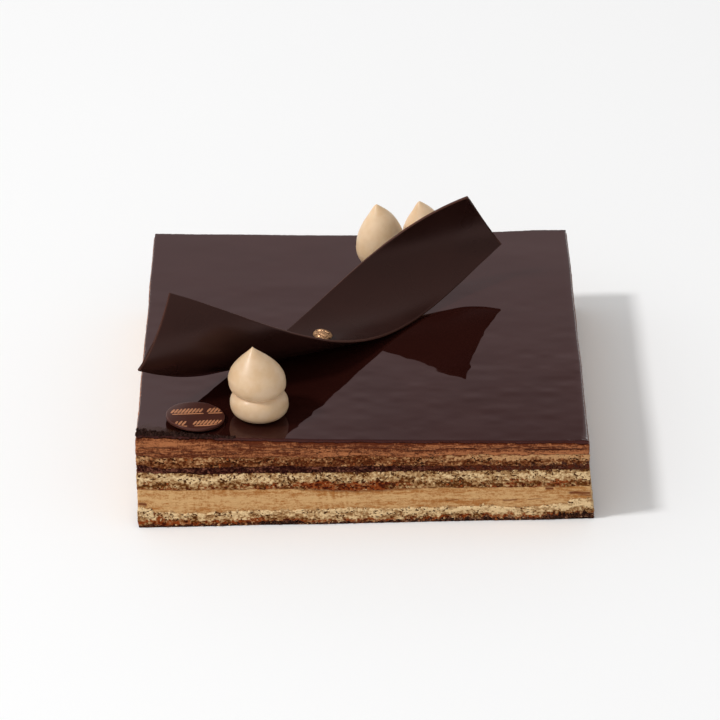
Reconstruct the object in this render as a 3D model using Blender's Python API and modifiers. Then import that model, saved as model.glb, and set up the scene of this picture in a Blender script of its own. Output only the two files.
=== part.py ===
"""Opera cake: a square layer cake under a chocolate glaze, with its decorations.

Metres, +Z up.  The origin is the centre of the cake's underside, the long cut
face looks towards -Y and the glazed shoulder towards +X.  The layers lie on
each other with a hair's gap, so that every one stays a closed solid of its own.
"""
import math

import bmesh
import bpy
from mathutils import Matrix, Vector

# ---------------------------------------------------------------- driving sizes
GAP = 0.0003

CAKE_WIDTH = 0.200
CAKE_DEPTH = 0.196
TOP_BACK_LEFT = 0.0435
TOP_BACK_RIGHT = 0.0431
TOP_FRONT_LEFT = 0.0467
TOP_FRONT_RIGHT = 0.0426
FRONT_CORNER_RISE = 2.2

GLAZE_THICKNESS = 0.0017
GLAZE_RIM = 0.0016
CUT_RIM_SHARE = 0.35
RIM_REACH = 0.0026
BASE_TOP = 0.0030
SPONGE_BOTTOM_TOP = 0.0080
CREAM_LOWER_TOP = 0.0190
SPONGE_MIDDLE_TOP = 0.0273
GANACHE_TOP = 0.0301
SPONGE_TOP_TOP = 0.0350

FRONT_FOOT_LEFT = -0.1010
FRONT_FOOT_RIGHT = -0.0950
FRONT_EDGE = -0.0985
BACK_LEFT = 0.0989
BACK_RIGHT = 0.1014
BACK_HOLLOW = 0.0036
BACK_HOLLOW_END = 0.92
BACK_HOLLOW_BIAS = 1.25
RIGHT_SHOULDER_FRONT = 0.1018
RIGHT_SHOULDER_BACK = 0.0994
RIGHT_FLARE = 0.0032
SPREAD_WAVE = 0.0001
SIDE_WAVE_LONG = 0.00015
SIDE_WAVE_SHORT = 0.0001

CURL_LENGTH = 0.2106
CURL_WIDTH = 0.0399
CURL_THICKNESS = 0.0012
CURL_RADIUS = 0.0289
CURL_SLANT = math.radians(29.8)
CURL_HEADING = math.radians(22.9)
CURL_CONTACT = (-0.0170, -0.0093)
CURL_ROLL = 0.0029
CURL_CLEARANCE = 0.0005

# The front dollop is a drop above a flattened ball.  The widest ring of each,
# what closes in under it and the radius are lengths; a lean moves only the tip.
FRONT_HEIGHT = 0.0345
FRONT_FOOT = (-0.0457, -0.0764)
FRONT_BEND = (0.0, -0.0036)
UPPER_TO_WIDEST = 0.0168
UPPER_CLOSING = 0.0090
UPPER_RADIUS = 0.0131
UPPER_SHARPNESS = 1.1
LOWER_CENTRE = 0.0058
LOWER_ABOVE = 0.0100
LOWER_BELOW = 0.0072
LOWER_RADIUS = 0.0133
WAIST = 0.0090
BACK_DROPS = (
    ("dollop_back_left", 0.0300, 0.0117, (0.0083, 0.0690), (0.0015, -0.0014)),
    ("dollop_back_right", 0.0266, 0.0104, (0.0289, 0.0784), (0.0013, -0.0013)),
)
BACK_TO_WIDEST = 0.75
BACK_CLOSING = 0.36
BACK_SHARPNESS = 0.88

DISC_RADIUS = 0.01325
DISC_THICKNESS = 0.0016
DISC_CHAMFER = 0.00035
DISC_CENTRE = (-0.0740, -0.0824)
DISC_LEFT_UP = math.radians(4.0)
DISC_FRONT_UP = math.radians(3.0)

BEAN_LENGTH = 0.0092
BEAN_WIDTH = 0.0070
BEAN_HEIGHT = 0.0044
BEAN_FLATTENED = 0.72
BEAN_GROOVE_DEPTH = 0.10
BEAN_GROOVE_WIDTH = 0.07
BEAN_GROOVE_SWING = 0.06
BEAN_CLEARANCE = 0.0004
BEAN_ASIDE = 0.0007
BEAN_TURN = math.radians(80.0)

COLLECTION_NAME = "opera_cake"


# ------------------------------------------------------------------- the scene
def clear_scene():
    """Take away whatever the file was opened with."""
    for old in list(bpy.data.objects):
        bpy.data.objects.remove(old)


def part_collection():
    """The collection that holds every solid of the cake."""
    found = bpy.data.collections.new(COLLECTION_NAME)
    bpy.context.scene.collection.children.link(found)
    return found


def material(name, colour, roughness):
    """A plain food surface of one colour."""
    made = bpy.data.materials.new(name)
    made.use_nodes = True
    shader = made.node_tree.nodes["Principled BSDF"]
    shader.inputs["Base Color"].default_value = (*colour, 1.0)
    shader.inputs["Roughness"].default_value = roughness
    shader.inputs["Metallic"].default_value = 0.0
    made.diffuse_color = (*colour, 1.0)
    return made


def place_solid(name, mesh, surface, collection):
    """Turn a finished bmesh into a named object with its own material."""
    data = bpy.data.meshes.new(name)
    bmesh.ops.recalc_face_normals(mesh, faces=mesh.faces)
    mesh.to_mesh(data)
    mesh.free()
    data.materials.append(surface)
    made = bpy.data.objects.new(name, data)
    collection.objects.link(made)
    return made


# ------------------------------------------------------------ the cake's shape
def mix(start, end, share):
    """A value between two ends."""
    return start + (end - start) * share


def glaze_height(x, y):
    """The glaze's upper face: level at the back, rising to the front left corner."""
    across = (x / CAKE_WIDTH) + 0.5
    forward = (BACK_LEFT - y) / (BACK_LEFT - FRONT_EDGE)
    across = min(max(across, 0.0), 1.0)
    forward = min(max(forward, 0.0), 1.0)
    back = mix(TOP_BACK_LEFT, TOP_BACK_RIGHT, across)
    rise = (1.0 - across) ** FRONT_CORNER_RISE
    front = mix(TOP_FRONT_RIGHT, TOP_FRONT_LEFT, rise)
    return mix(back, front, forward ** 3)


def spread_wave(x, y, turn):
    """The slight unevenness of a layer spread by hand, at most 0.2 mm."""
    along = math.sin(34.0 * x + 21.0 * y + turn)
    across = math.sin(47.0 * y - 15.0 * x + 2.0 * turn)
    return SPREAD_WAVE * (along + across)


def side_wave(run, turn):
    """How far a cut side wanders in and out along its run, at most 0.25 mm."""
    long_wave = SIDE_WAVE_LONG * math.sin(70.0 * run + turn)
    return long_wave + SIDE_WAVE_SHORT * math.sin(133.0 * run + 2.3 * turn)


def left_side(y, turn):
    """The cut left side, upright."""
    return -0.5 * CAKE_WIDTH + side_wave(y, turn)


def right_side(y, z, turn):
    """The right side, which spreads out towards its foot."""
    share = 1.0 - z / TOP_FRONT_RIGHT
    shoulder = mix(RIGHT_SHOULDER_FRONT, RIGHT_SHOULDER_BACK, y / CAKE_DEPTH + 0.5)
    return shoulder + RIGHT_FLARE * max(share, 0.0) ** 2 + side_wave(y, turn)


def front_side(x, z, turn):
    """The cut front, twisted: its foot stands out at the left and back at the right."""
    across = x / CAKE_WIDTH + 0.5
    foot = mix(FRONT_FOOT_LEFT, FRONT_FOOT_RIGHT, across)
    return mix(foot, FRONT_EDGE, z / TOP_FRONT_RIGHT) + side_wave(x, turn)


def back_side(x, turn):
    """The back, a little out of square with the front and hollow along its middle."""
    across = x / CAKE_WIDTH + 0.5
    share = min(max(across / BACK_HOLLOW_END, 0.0), 1.0)
    hollow = BACK_HOLLOW * math.sin(math.pi * share ** BACK_HOLLOW_BIAS)
    return mix(BACK_LEFT, BACK_RIGHT, across) - hollow + side_wave(x, turn)


def flat_level(height, turn):
    """A layer's face at one height, with the wave of its spreading."""
    return lambda x, y: height + spread_wave(x, y, turn)


def underside(x, y):
    """The flat face that the cake stands on."""
    return 0.0


def glaze_underside(x, y):
    """The face between the glaze and the cream under it."""
    return glaze_height(x, y) - GLAZE_THICKNESS


def gridded_cube(columns, rows):
    """A cube of edge 1 about the origin, cut into columns along X and rows along Y."""
    mesh = bmesh.new()
    bmesh.ops.create_cube(mesh, size=1.0)
    for normal, count in (((1, 0, 0), columns), ((0, 1, 0), rows)):
        for step in range(1, count):
            place = Vector(normal) * (step / count - 0.5)
            whole = mesh.verts[:] + mesh.edges[:] + mesh.faces[:]
            bmesh.ops.bisect_plane(mesh, geom=whole, plane_co=place, plane_no=normal, dist=1e-6)
    return mesh


def layer_solid(name, lower, upper, proud, turn, surface, collection, columns=12, rows=11):
    """One layer: a cut cube whose every vertex is moved onto the layer's own faces."""
    mesh = gridded_cube(columns, rows)
    for vertex in mesh.verts:
        share_x = vertex.co.x + 0.5
        share_y = vertex.co.y + 0.5
        x = (share_x - 0.5) * CAKE_WIDTH
        y = (share_y - 0.5) * CAKE_DEPTH
        if vertex.co.z > 0.0:
            z = upper(x, y) - 0.5 * GAP
        else:
            z = lower(x, y) + 0.5 * GAP
        if lower is underside and vertex.co.z < 0.0:
            z = 0.0
        left = left_side(y, turn) - proud
        right = right_side(y, z, turn) + proud
        front = front_side(x, z, turn) - proud
        back = back_side(x, turn) + proud
        vertex.co = (mix(left, right, share_x), mix(front, back, share_y), z)
    return place_solid(name, mesh, surface, collection)


def round_glaze_rim(glaze):
    """Round the glaze's upper rim, widest on the right shoulder where it ran over."""
    weights = glaze.data.attributes.new("bevel_weight_edge", "FLOAT", "EDGE")
    points = glaze.data.vertices
    for edge in glaze.data.edges:
        first, second = (points[index].co for index in edge.vertices)
        middle = 0.5 * (first + second)
        top = abs(middle.z - glaze_height(middle.x, middle.y)) < 0.3 * GLAZE_THICKNESS
        level = abs(first.z - second.z) < 0.5 * GLAZE_THICKNESS
        if not (top and level):
            continue
        outer = 0.5 * CAKE_WIDTH - RIM_REACH
        at_right = min(first.x, second.x) > outer
        at_left = max(first.x, second.x) < -outer
        at_front = max(first.y, second.y) < FRONT_EDGE + RIM_REACH
        at_back = min(first.y, second.y) > BACK_LEFT - BACK_HOLLOW - RIM_REACH
        if at_right:
            weights.data[edge.index].value = 1.0
        elif at_left or at_front or at_back:
            weights.data[edge.index].value = CUT_RIM_SHARE
    rim = glaze.modifiers.new("rim", "BEVEL")
    rim.limit_method = "WEIGHT"
    rim.width = GLAZE_RIM
    rim.segments = 2


def make_layers(collection):
    """The eight layers, from the chocolate under the bottom sponge to the glaze."""
    joints = {
        "base": flat_level(BASE_TOP, 0.4),
        "sponge_bottom": flat_level(SPONGE_BOTTOM_TOP, 1.3),
        "cream_lower": flat_level(CREAM_LOWER_TOP, 2.2),
        "sponge_middle": flat_level(SPONGE_MIDDLE_TOP, 3.6),
        "ganache": flat_level(GANACHE_TOP, 4.1),
        "sponge_top": flat_level(SPONGE_TOP_TOP, 5.0),
    }
    plan = (
        ("chocolate_base", underside, joints["base"], -0.0003, (0.030, 0.013, 0.009), 0.55),
        ("sponge_bottom", joints["base"], joints["sponge_bottom"], 0.0004, (0.60, 0.42, 0.21), 0.9),
        ("coffee_cream_lower", joints["sponge_bottom"], joints["cream_lower"], 0.0001,
         (0.56, 0.32, 0.14), 0.5),
        ("sponge_middle", joints["cream_lower"], joints["sponge_middle"], 0.0003,
         (0.62, 0.50, 0.28), 0.9),
        ("ganache", joints["sponge_middle"], joints["ganache"], 0.0, (0.032, 0.012, 0.012), 0.4),
        ("sponge_top", joints["ganache"], joints["sponge_top"], 0.0002, (0.25, 0.13, 0.06), 0.9),
        ("coffee_cream_upper", joints["sponge_top"], glaze_underside, 0.0004,
         (0.36, 0.15, 0.055), 0.5),
        ("glaze", glaze_underside, glaze_height, 0.0002, (0.022, 0.009, 0.007), 0.06),
    )
    made = {}
    for turn, (name, lower, upper, proud, colour, roughness) in enumerate(plan):
        surface = material(name + "_surface", colour, roughness)
        made[name] = layer_solid(name, lower, upper, proud, 1.7 * turn, surface, collection)
    round_glaze_rim(made["glaze"])


# ------------------------------------------------------------- piped decorations
def drop_radius(below_tip, to_widest, closing, radius, sharpness):
    """A piped drop's radius at a depth below its tip.

    Down to its widest ring it follows a quarter sine of the depth raised to the
    sharpness, and below that ring a quarter ellipse of height closing.
    """
    if below_tip <= to_widest:
        share = max(below_tip / to_widest, 0.0) ** sharpness
        return radius * math.sin(0.5 * math.pi * share)
    share = min((below_tip - to_widest) / closing, 1.0)
    return radius * math.sqrt(1.0 - share * share)


def ball_radius(height, centre, above, below, radius):
    """The radius of a flattened ball whose upper and lower halves differ in height."""
    share = (height - centre) / (above if height > centre else below)
    return radius * math.sqrt(max(1.0 - share * share, 0.0))


def axis_shift(share, sway, lean):
    """How far the axis stands aside at a share of the height.

    It sways out at mid height and comes back, and only its tip leans over.
    """
    return 4.0 * sway * share * (1.0 - share) + lean * share ** 4


def turned_dollop(name, radius_at, total, bend, foot, surface, collection, rings=15, sides=24):
    """A piped dollop: a profile turned by a Screw, then bent by its sway and lean."""
    mesh = bmesh.new()
    levels = [total * (1.0 - math.cos(math.pi * step / rings)) / 2.0 for step in range(rings)]
    profile = [(0.0, total)]
    profile += [(radius_at(level), level) for level in reversed(levels)]
    profile.append((0.0, 0.0))
    chain = [mesh.verts.new((radius, 0.0, level)) for radius, level in profile]
    for upper, lower in zip(chain, chain[1:]):
        mesh.edges.new((upper, lower))
    data = bpy.data.meshes.new(name + "_profile")
    mesh.to_mesh(data)
    mesh.free()
    turned = bpy.data.objects.new(name + "_profile", data)
    collection.objects.link(turned)
    screw = turned.modifiers.new("turn", "SCREW")
    screw.steps = sides
    screw.render_steps = sides
    screw.use_merge_vertices = True
    screw.merge_threshold = 0.00001
    tree = bpy.context.evaluated_depsgraph_get()
    solid = bmesh.new()
    solid.from_object(turned, tree)
    bpy.data.objects.remove(turned)
    bmesh.ops.remove_doubles(solid, verts=solid.verts, dist=0.00001)
    for vertex in solid.verts:
        vertex.co.x += axis_shift(vertex.co.z / total, *bend)
    made = place_solid(name, solid, surface, collection)
    made.data.shade_smooth()
    made.location = (foot[0], foot[1], resting_height(foot, radius_at(0.0)))
    return made


def resting_height(foot, reach):
    """The lowest clear height of a flat foot of this reach on the sloping glaze."""
    around = [(0.0, 0.0), (reach, 0.0), (-reach, 0.0), (0.0, reach), (0.0, -reach)]
    return max(glaze_height(foot[0] + x, foot[1] + y) for x, y in around) + GAP


def make_dollops(collection):
    """The double dollop at the front and the two drops behind the curl."""
    surface = material("piped_cream_surface", (0.72, 0.50, 0.30), 0.45)

    def double(level):
        lower = ball_radius(level, LOWER_CENTRE, LOWER_ABOVE, LOWER_BELOW, LOWER_RADIUS)
        if level < WAIST:
            return lower
        upper = drop_radius(FRONT_HEIGHT - level, UPPER_TO_WIDEST, UPPER_CLOSING,
                            UPPER_RADIUS, UPPER_SHARPNESS)
        return max(upper, lower)

    turned_dollop("dollop_front", double, FRONT_HEIGHT, FRONT_BEND, FRONT_FOOT,
                  surface, collection, rings=20)
    for name, height, radius, foot, bend in BACK_DROPS:
        own = surface.copy()
        own.name = name + "_surface"

        def single(level, height=height, radius=radius):
            return drop_radius(height - level, BACK_TO_WIDEST * height, BACK_CLOSING * height,
                               radius, BACK_SHARPNESS)

        turned_dollop(name, single, height, bend, foot, own, collection)


# --------------------------------------------------------- chocolate decorations
def curl_frame():
    """The matrix of the curl's contact line: X across it, Y along it, Z up."""
    along = Vector((math.cos(CURL_HEADING), math.sin(CURL_HEADING), 0.0))
    across = Vector((along.y, -along.x, 0.0))
    reach = 0.5 * CURL_WIDTH / math.sin(CURL_SLANT)
    start = Vector((*CURL_CONTACT, 0.0)) - reach * along
    end = Vector((*CURL_CONTACT, 0.0)) + reach * along
    start.z = glaze_height(start.x, start.y)
    end.z = glaze_height(end.x, end.y)
    along = (end - start).normalized()
    up = across.cross(along).normalized()
    turn = Matrix((across, along, up)).transposed().to_4x4()
    return Matrix.Translation(0.5 * (start + end) + up * CURL_CLEARANCE) @ turn


def make_curl(collection):
    """A thin rectangle of chocolate bent round a slanted line, touching along it.

    A point at (s, t) on the flat sheet lies a distance q = -s sin(slant)
    - t cos(slant) across the contact line and g = s cos(slant) - t sin(slant)
    along it, and q then runs round a circle of the curl's radius.
    """
    mesh = bmesh.new()
    bmesh.ops.create_grid(mesh, x_segments=42, y_segments=7, size=0.5)
    for vertex in mesh.verts:
        s = vertex.co.x * CURL_LENGTH
        t = vertex.co.y * CURL_WIDTH
        q = CURL_ROLL - s * math.sin(CURL_SLANT) - t * math.cos(CURL_SLANT)
        g = s * math.cos(CURL_SLANT) - t * math.sin(CURL_SLANT)
        angle = q / CURL_RADIUS
        across = CURL_RADIUS * math.sin(angle)
        height = CURL_RADIUS * (1.0 - math.cos(angle))
        vertex.co = (across, g, height)
    data = bpy.data.meshes.new("chocolate_curl")
    for face in mesh.faces:
        face.smooth = True
    mesh.to_mesh(data)
    mesh.free()
    data.materials.append(material("chocolate_curl_surface", (0.045, 0.021, 0.016), 0.3))
    made = bpy.data.objects.new("chocolate_curl", data)
    collection.objects.link(made)
    made.matrix_world = curl_frame()
    wall = made.modifiers.new("wall", "SOLIDIFY")
    wall.thickness = CURL_THICKNESS
    wall.offset = 1.0
    return made


def make_disc(collection):
    """The thin chocolate disc, propped up a little at the front left."""
    mesh = bmesh.new()
    bmesh.ops.create_cone(mesh, cap_ends=True, segments=40, radius1=DISC_RADIUS,
                          radius2=DISC_RADIUS, depth=DISC_THICKNESS)
    rims = [edge for edge in mesh.edges if abs(edge.verts[0].co.z - edge.verts[1].co.z) < 1e-6]
    bmesh.ops.bevel(mesh, geom=rims, offset=DISC_CHAMFER, segments=1, affect="EDGES")
    surface = material("chocolate_disc_surface", (0.040, 0.018, 0.014), 0.3)
    made = place_solid("chocolate_disc", mesh, surface, collection)
    tilt = Matrix.Rotation(DISC_LEFT_UP, 3, "Y") @ Matrix.Rotation(-DISC_FRONT_UP, 3, "X")
    made.rotation_euler = tilt.to_euler()
    placed = [tilt @ vertex.co for vertex in made.data.vertices]
    drop = [glaze_height(DISC_CENTRE[0] + co.x, DISC_CENTRE[1] + co.y) - co.z for co in placed]
    made.location = (*DISC_CENTRE, max(drop) + GAP)
    return made


def make_bean(collection):
    """The gilded coffee bean at the bottom of the curl: an egg with a lengthwise groove."""
    mesh = bmesh.new()
    bmesh.ops.create_uvsphere(mesh, u_segments=20, v_segments=12, radius=0.5)
    for vertex in mesh.verts:
        x, y, z = vertex.co
        aside = y - BEAN_GROOVE_SWING * math.sin(5.0 * x)
        groove = BEAN_GROOVE_DEPTH * math.exp(-(aside / BEAN_GROOVE_WIDTH) ** 2)
        if z > 0.0:
            z -= groove * (1.0 - (2.0 * x) ** 2)
        else:
            z *= BEAN_FLATTENED
        vertex.co = (x * BEAN_LENGTH, y * BEAN_WIDTH, z * BEAN_HEIGHT)
    for face in mesh.faces:
        face.smooth = True
    surface = material("gold_bean_surface", (0.62, 0.40, 0.20), 0.35)
    made = place_solid("gold_bean", mesh, surface, collection)
    clear = CURL_THICKNESS + GAP + BEAN_CLEARANCE + 0.5 * BEAN_FLATTENED * BEAN_HEIGHT
    place = curl_frame() @ Matrix.Translation((0.0, -BEAN_ASIDE, clear))
    made.matrix_world = place @ Matrix.Rotation(BEAN_TURN, 4, "Z")
    return made


def build():
    """Make every solid of the cake."""
    clear_scene()
    collection = part_collection()
    make_layers(collection)
    make_dollops(collection)
    make_curl(collection)
    make_disc(collection)
    make_bean(collection)


build()
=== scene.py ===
"""Opera cake: the looks of its layers and decorations, laid out as an add-on.

Every surface is worked out on a grid of two parameters as whole arrays.  The
cake's frame gives the place of each piece, and the sizes below give its form.
Metres, +Z up, the long cut face towards -Y.
"""

import copy
import math

import bpy
import numpy as np
from bpy.props import FloatProperty, FloatVectorProperty, PointerProperty
from bpy.types import Operator, Panel, PropertyGroup
from mathutils import Matrix, Vector


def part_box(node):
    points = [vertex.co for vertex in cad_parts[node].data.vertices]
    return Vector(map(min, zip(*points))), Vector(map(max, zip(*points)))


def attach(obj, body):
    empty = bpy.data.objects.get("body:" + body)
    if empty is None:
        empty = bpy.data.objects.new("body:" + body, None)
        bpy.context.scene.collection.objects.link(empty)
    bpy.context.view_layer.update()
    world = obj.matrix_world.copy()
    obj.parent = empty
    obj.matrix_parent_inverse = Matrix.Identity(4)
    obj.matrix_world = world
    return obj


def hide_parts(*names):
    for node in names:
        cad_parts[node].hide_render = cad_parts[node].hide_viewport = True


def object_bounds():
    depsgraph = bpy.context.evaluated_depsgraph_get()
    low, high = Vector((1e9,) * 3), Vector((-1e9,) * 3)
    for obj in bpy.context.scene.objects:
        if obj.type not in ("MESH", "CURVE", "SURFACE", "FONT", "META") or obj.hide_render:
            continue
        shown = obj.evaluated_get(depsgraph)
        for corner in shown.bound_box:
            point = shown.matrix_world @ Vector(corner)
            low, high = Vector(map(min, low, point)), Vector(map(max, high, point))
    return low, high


bl_info = {
    "name": "Opera Cake Looks",
    "version": (1, 0, 0),
    "blender": (4, 5, 0),
    "location": "3D View > Sidebar > Opera Cake",
    "description": "Makes the layers, glaze and decorations of an opera cake",
    "category": "Object",
}

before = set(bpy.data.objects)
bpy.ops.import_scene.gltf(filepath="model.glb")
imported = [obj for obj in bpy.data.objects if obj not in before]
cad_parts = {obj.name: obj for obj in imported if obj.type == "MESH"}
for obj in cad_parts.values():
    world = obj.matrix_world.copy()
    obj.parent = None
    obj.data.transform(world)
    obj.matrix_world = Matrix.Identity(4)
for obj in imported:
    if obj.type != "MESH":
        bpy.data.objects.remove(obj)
FRAME_LOW, FRAME_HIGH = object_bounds()
COLOUR, NUMBER = "NodeSocketColor", "NodeSocketFloat"
GREY = (0.5, 0.5, 0.5, 1.0)

MILLI = 0.001
BODY = "root"
FRONT, RIGHT, BACK, LEFT = range(4)
INSIDE_BY = 1e-6                        # how far inside its frame the cake is held
SIDE_COLUMNS = (900, 480, 480, 480)     # columns of points on each side of a layer
CAP_SHARE = np.array((0.95, 0.95, 1.0))  # a closing ring as a share of the ring it closes
CAP_DROP = 0.05 * MILLI                 # how far a closing ring is sunk


# ============================================================= user's settings
def linear(red, green, blue):
    """A display colour from 0 to 255 as scene-linear values."""
    shares = (red / 255.0, green / 255.0, blue / 255.0)
    return tuple(((s + 0.055) / 1.055) ** 2.4 if s > 0.04045 else s / 12.92 for s in shares)


def length(name, text, value):
    """A size in metres for a property group."""
    return FloatProperty(name=name, description=text, default=value, precision=5,
                         step=0.01, subtype="DISTANCE", unit="LENGTH")


def angle(name, text, degrees):
    """An angle for a property group, given in degrees."""
    return FloatProperty(name=name, description=text, default=math.radians(degrees),
                         subtype="ANGLE", unit="ROTATION")


def tint(name, text, red, green, blue):
    """A colour for a property group, given as display values."""
    return FloatVectorProperty(name=name, description=text, size=3, min=0.0, max=1.0,
                               default=linear(red, green, blue), subtype="COLOR")


class CakeForm(PropertyGroup):
    """The sizes of the cake's body."""

    width: length("Width", "Across the long cut face", 0.200)
    depth: length("Depth", "From the cut face to the back", 0.196)
    top_back_left: length("Top back left", "Height of the glaze there", 0.0435)
    top_back_right: length("Top back right", "Height of the glaze there", 0.0431)
    top_front_left: length("Top front left", "Height of the glaze there", 0.0467)
    top_front_right: length("Top front right", "Height of the glaze there", 0.0426)
    foot_left: length("Foot left", "Where the cut face's foot stands at the left", -0.1010)
    foot_right: length("Foot right", "Where the cut face's foot stands at the right", -0.0950)
    front_edge: length("Front edge", "Where the cut face's upper edge lies", -0.0985)
    back_left: length("Back left", "Where the back lies at the left", 0.0989)
    back_right: length("Back right", "Where the back lies at the right", 0.1014)
    back_hollow: length("Back hollow", "How far the back is hollow", 0.0036)
    shoulder_front: length("Shoulder front", "Where the right side lies at the front", 0.1018)
    shoulder_back: length("Shoulder back", "Where the right side lies at the back", 0.0994)
    flare: length("Flare", "How far the right side's foot spreads", 0.0032)
    glaze_thickness: length("Glaze", "Thickness of the mirror glaze", 0.0017)
    corner: length("Corner", "Radius of the four upright corners", 0.0007)


class DecorationForm(PropertyGroup):
    """The sizes of what lies on the cake."""

    sheet_length: length("Sheet length", "Length of the chocolate sheet", 0.2106)
    sheet_width: length("Sheet width", "Width of the chocolate sheet", 0.0399)
    sheet_thickness: length("Sheet thickness", "Thickness of the sheet", 0.0012)
    sheet_radius: length("Sheet radius", "Radius that the sheet is bent to", 0.0289)
    sheet_slant: angle("Sheet slant", "Between the sheet's length and its bend", 29.8)
    sheet_heading: angle("Sheet heading", "Of the line where the sheet touches", 22.9)
    sheet_roll: length("Sheet roll", "How far the sheet is rolled along its bend", 0.0029)
    disc_radius: length("Disc radius", "Radius of the printed disc", 0.01325)
    disc_thickness: length("Disc thickness", "Thickness of the printed disc", 0.0016)
    disc_left_up: angle("Disc left up", "How far the disc's left is propped up", 4.0)
    disc_front_up: angle("Disc front up", "How far the disc's front is propped up", 3.0)
    print_turn: angle("Print turn", "How far the disc's rows are turned", 11.0)
    bean_length: length("Bean length", "Length of the gilded bean", 0.0100)
    bean_width: length("Bean width", "Width of the gilded bean", 0.0076)
    bean_turn: angle("Bean turn", "Heading of the bean's groove", -38.0)
    bean_height: length("Bean height", "Height of the gilded bean", 0.0044)


class CakeColours(PropertyGroup):
    """The colours of the cake."""

    crumb_light: tint("Crumb light", "Palest crumb of the sponge", 228, 197, 150)
    crumb_middle: tint("Crumb middle", "Body of the sponge", 166, 127, 84)
    crumb_dark: tint("Crumb dark", "Darkest crumb of the sponge", 100, 56, 20)
    crumb_soaked: tint("Crumb soaked", "Sponge soaked with coffee", 136, 60, 18)
    # Painted shade: the hole colours darken the bottom of a pore; the wet hole is also the darkest
    # soaked crumb.
    crumb_hole_shade: tint("Crumb hole", "Bottom of a pore", 84, 48, 22)
    crumb_wet_hole_shade: tint("Wet hole", "Bottom of a pore in soaked sponge", 68, 16, 4)
    top_light: tint("Top sponge light", "Palest crumb of the top sponge", 190, 144, 100)
    top_middle: tint("Top sponge middle", "Body of the top sponge", 126, 77, 44)
    top_dark: tint("Top sponge dark", "Darkest crumb of the top sponge", 84, 38, 14)
    top_soaked: tint("Top sponge soaked", "Top sponge soaked with coffee", 98, 44, 18)
    # Painted shade at the bottom of a pore in the top sponge.
    top_hole_shade: tint("Top sponge hole", "Bottom of a pore in the top sponge", 50, 22, 8)
    cream_light: tint("Cream light", "Pale coffee cream", 208, 166, 114)
    cream_deep: tint("Cream deep", "Deeper coffee cream", 166, 108, 54)
    cream_line: tint("Cream line", "Drag lines in the pale cream", 104, 46, 20)
    cream_bright: tint("Soaked cream bright", "Brightest smear of the upper cream", 170, 106, 66)
    cream_brown: tint("Soaked cream brown", "Brown of the upper cream", 84, 32, 10)
    cream_crack: tint("Crack", "Cracks and drag lines in the cream", 56, 16, 8)
    ganache: tint("Ganache", "Ganache between the sponges", 36, 9, 9)
    ganache_light: tint("Ganache light", "Palest grain of the ganache", 122, 74, 58)
    ganache_middle: tint("Ganache middle", "Browner grain of the ganache", 56, 24, 18)
    ganache_soaked: tint("Ganache soaked", "Ganache soaked with coffee", 88, 38, 20)
    base: tint("Base", "Chocolate under the cake", 46, 28, 22)
    base_light: tint("Base light", "Palest crumb pressed into the base", 190, 150, 116)
    base_middle: tint("Base middle", "Browner chocolate of the base", 84, 52, 40)
    base_soaked: tint("Base soaked", "Base soaked with coffee", 112, 64, 38)
    chip_light: tint("Chip light", "Palest loose chip of chocolate", 110, 70, 52)
    chip_middle: tint("Chip middle", "Browner loose chip of chocolate", 64, 36, 28)
    chip_soaked: tint("Chip soaked", "Loose chip soaked with coffee", 84, 48, 30)
    # Torn glaze bits: dark bits of ragged glaze that also stand in for a painted reflection of the
    # disc along the front left of the glaze.
    torn_light: tint("Torn light", "Palest torn bit of glaze", 72, 48, 42)
    torn_middle: tint("Torn middle", "Browner torn bit of glaze", 36, 23, 20)
    torn_soaked: tint("Torn soaked", "Torn bit of glaze soaked with coffee", 30, 16, 12)
    # Painted shade at the bottom of a pore in chocolate.
    pit: tint("Pit", "Bottom of a pore in chocolate", 26, 8, 6)
    glaze: tint("Glaze", "Mirror glaze", 40, 15, 11)
    glaze_dull: tint("Glaze dull", "Glaze where it is torn", 44, 24, 12)
    chocolate: tint("Chocolate", "Bent sheet", 39, 21, 17)
    sheet_bloom: tint("Sheet bloom", "Bloom on the bent sheet", 66, 34, 28)
    # Painted highlight: the paler colour of the sheet's edges.
    sheet_edge_highlight: tint("Sheet edge", "Edges of the bent sheet", 66, 38, 29)
    disc: tint("Disc", "Printed disc", 70, 38, 31)
    disc_bloom: tint("Disc bloom", "Bloom on the printed disc", 84, 44, 34)
    # Painted highlight: the paler colour mixed faintly into the disc's rim.
    disc_rim_highlight: tint("Disc edge", "Rim of the printed disc", 104, 62, 46)
    piped: tint("Piped cream", "Dollops", 218, 187, 152)
    # Painted light: a lighter copy of the piped cream that brightens the dollops behind the sheet.
    piped_back_lit: tint("Back dollops", "Dollops behind the sheet", 234, 202, 164)
    copper: tint("Copper", "Print on the disc", 222, 152, 108)
    gold: tint("Gold", "Gilding of the bean", 184, 140, 100)
    gold_deep: tint("Gold deep", "Hollows of the bean", 84, 48, 18)


class StageForm(PropertyGroup):
    """The camera and the light."""

    floor: tint("Floor", "Colour of the floor", 252, 252, 252)
    azimuth: angle("Azimuth", "Direction that the camera looks in", -0.326)
    pitch: angle("Pitch", "How far the camera looks down", 29.7)
    roll: angle("Roll", "How far the camera is rolled", -0.469)
    distance: length("Distance", "From the camera to what it looks at", 2.0695)
    lens: FloatProperty(name="Lens", description="Focal length", default=220.65,
                        subtype="DISTANCE_CAMERA")
    key: FloatProperty(name="Key", description="Power of the soft box at the left",
                       default=74.0, subtype="POWER")
    key_size: length("Key size", "Side of the soft box", 0.48)
    key_aside: angle("Key aside", "How far the soft box stands forward of the left", 20.0)
    key_height: angle("Key height", "How high the soft box stands", 50.6)
    room: FloatProperty(name="Room", description="Brightness all round", default=0.67)
    backdrop: FloatProperty(name="Backdrop", default=0.08, subtype="FACTOR",
                            description="How much brighter the low backdrop is")
    room_lean: FloatProperty(name="Room lean", default=0.34, subtype="FACTOR",
                             description="How much brighter the room is at the left")
    gap: FloatProperty(name="Gap", default=0.5, subtype="FACTOR",
                       description="How much darker the room is above the backdrop")


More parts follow.
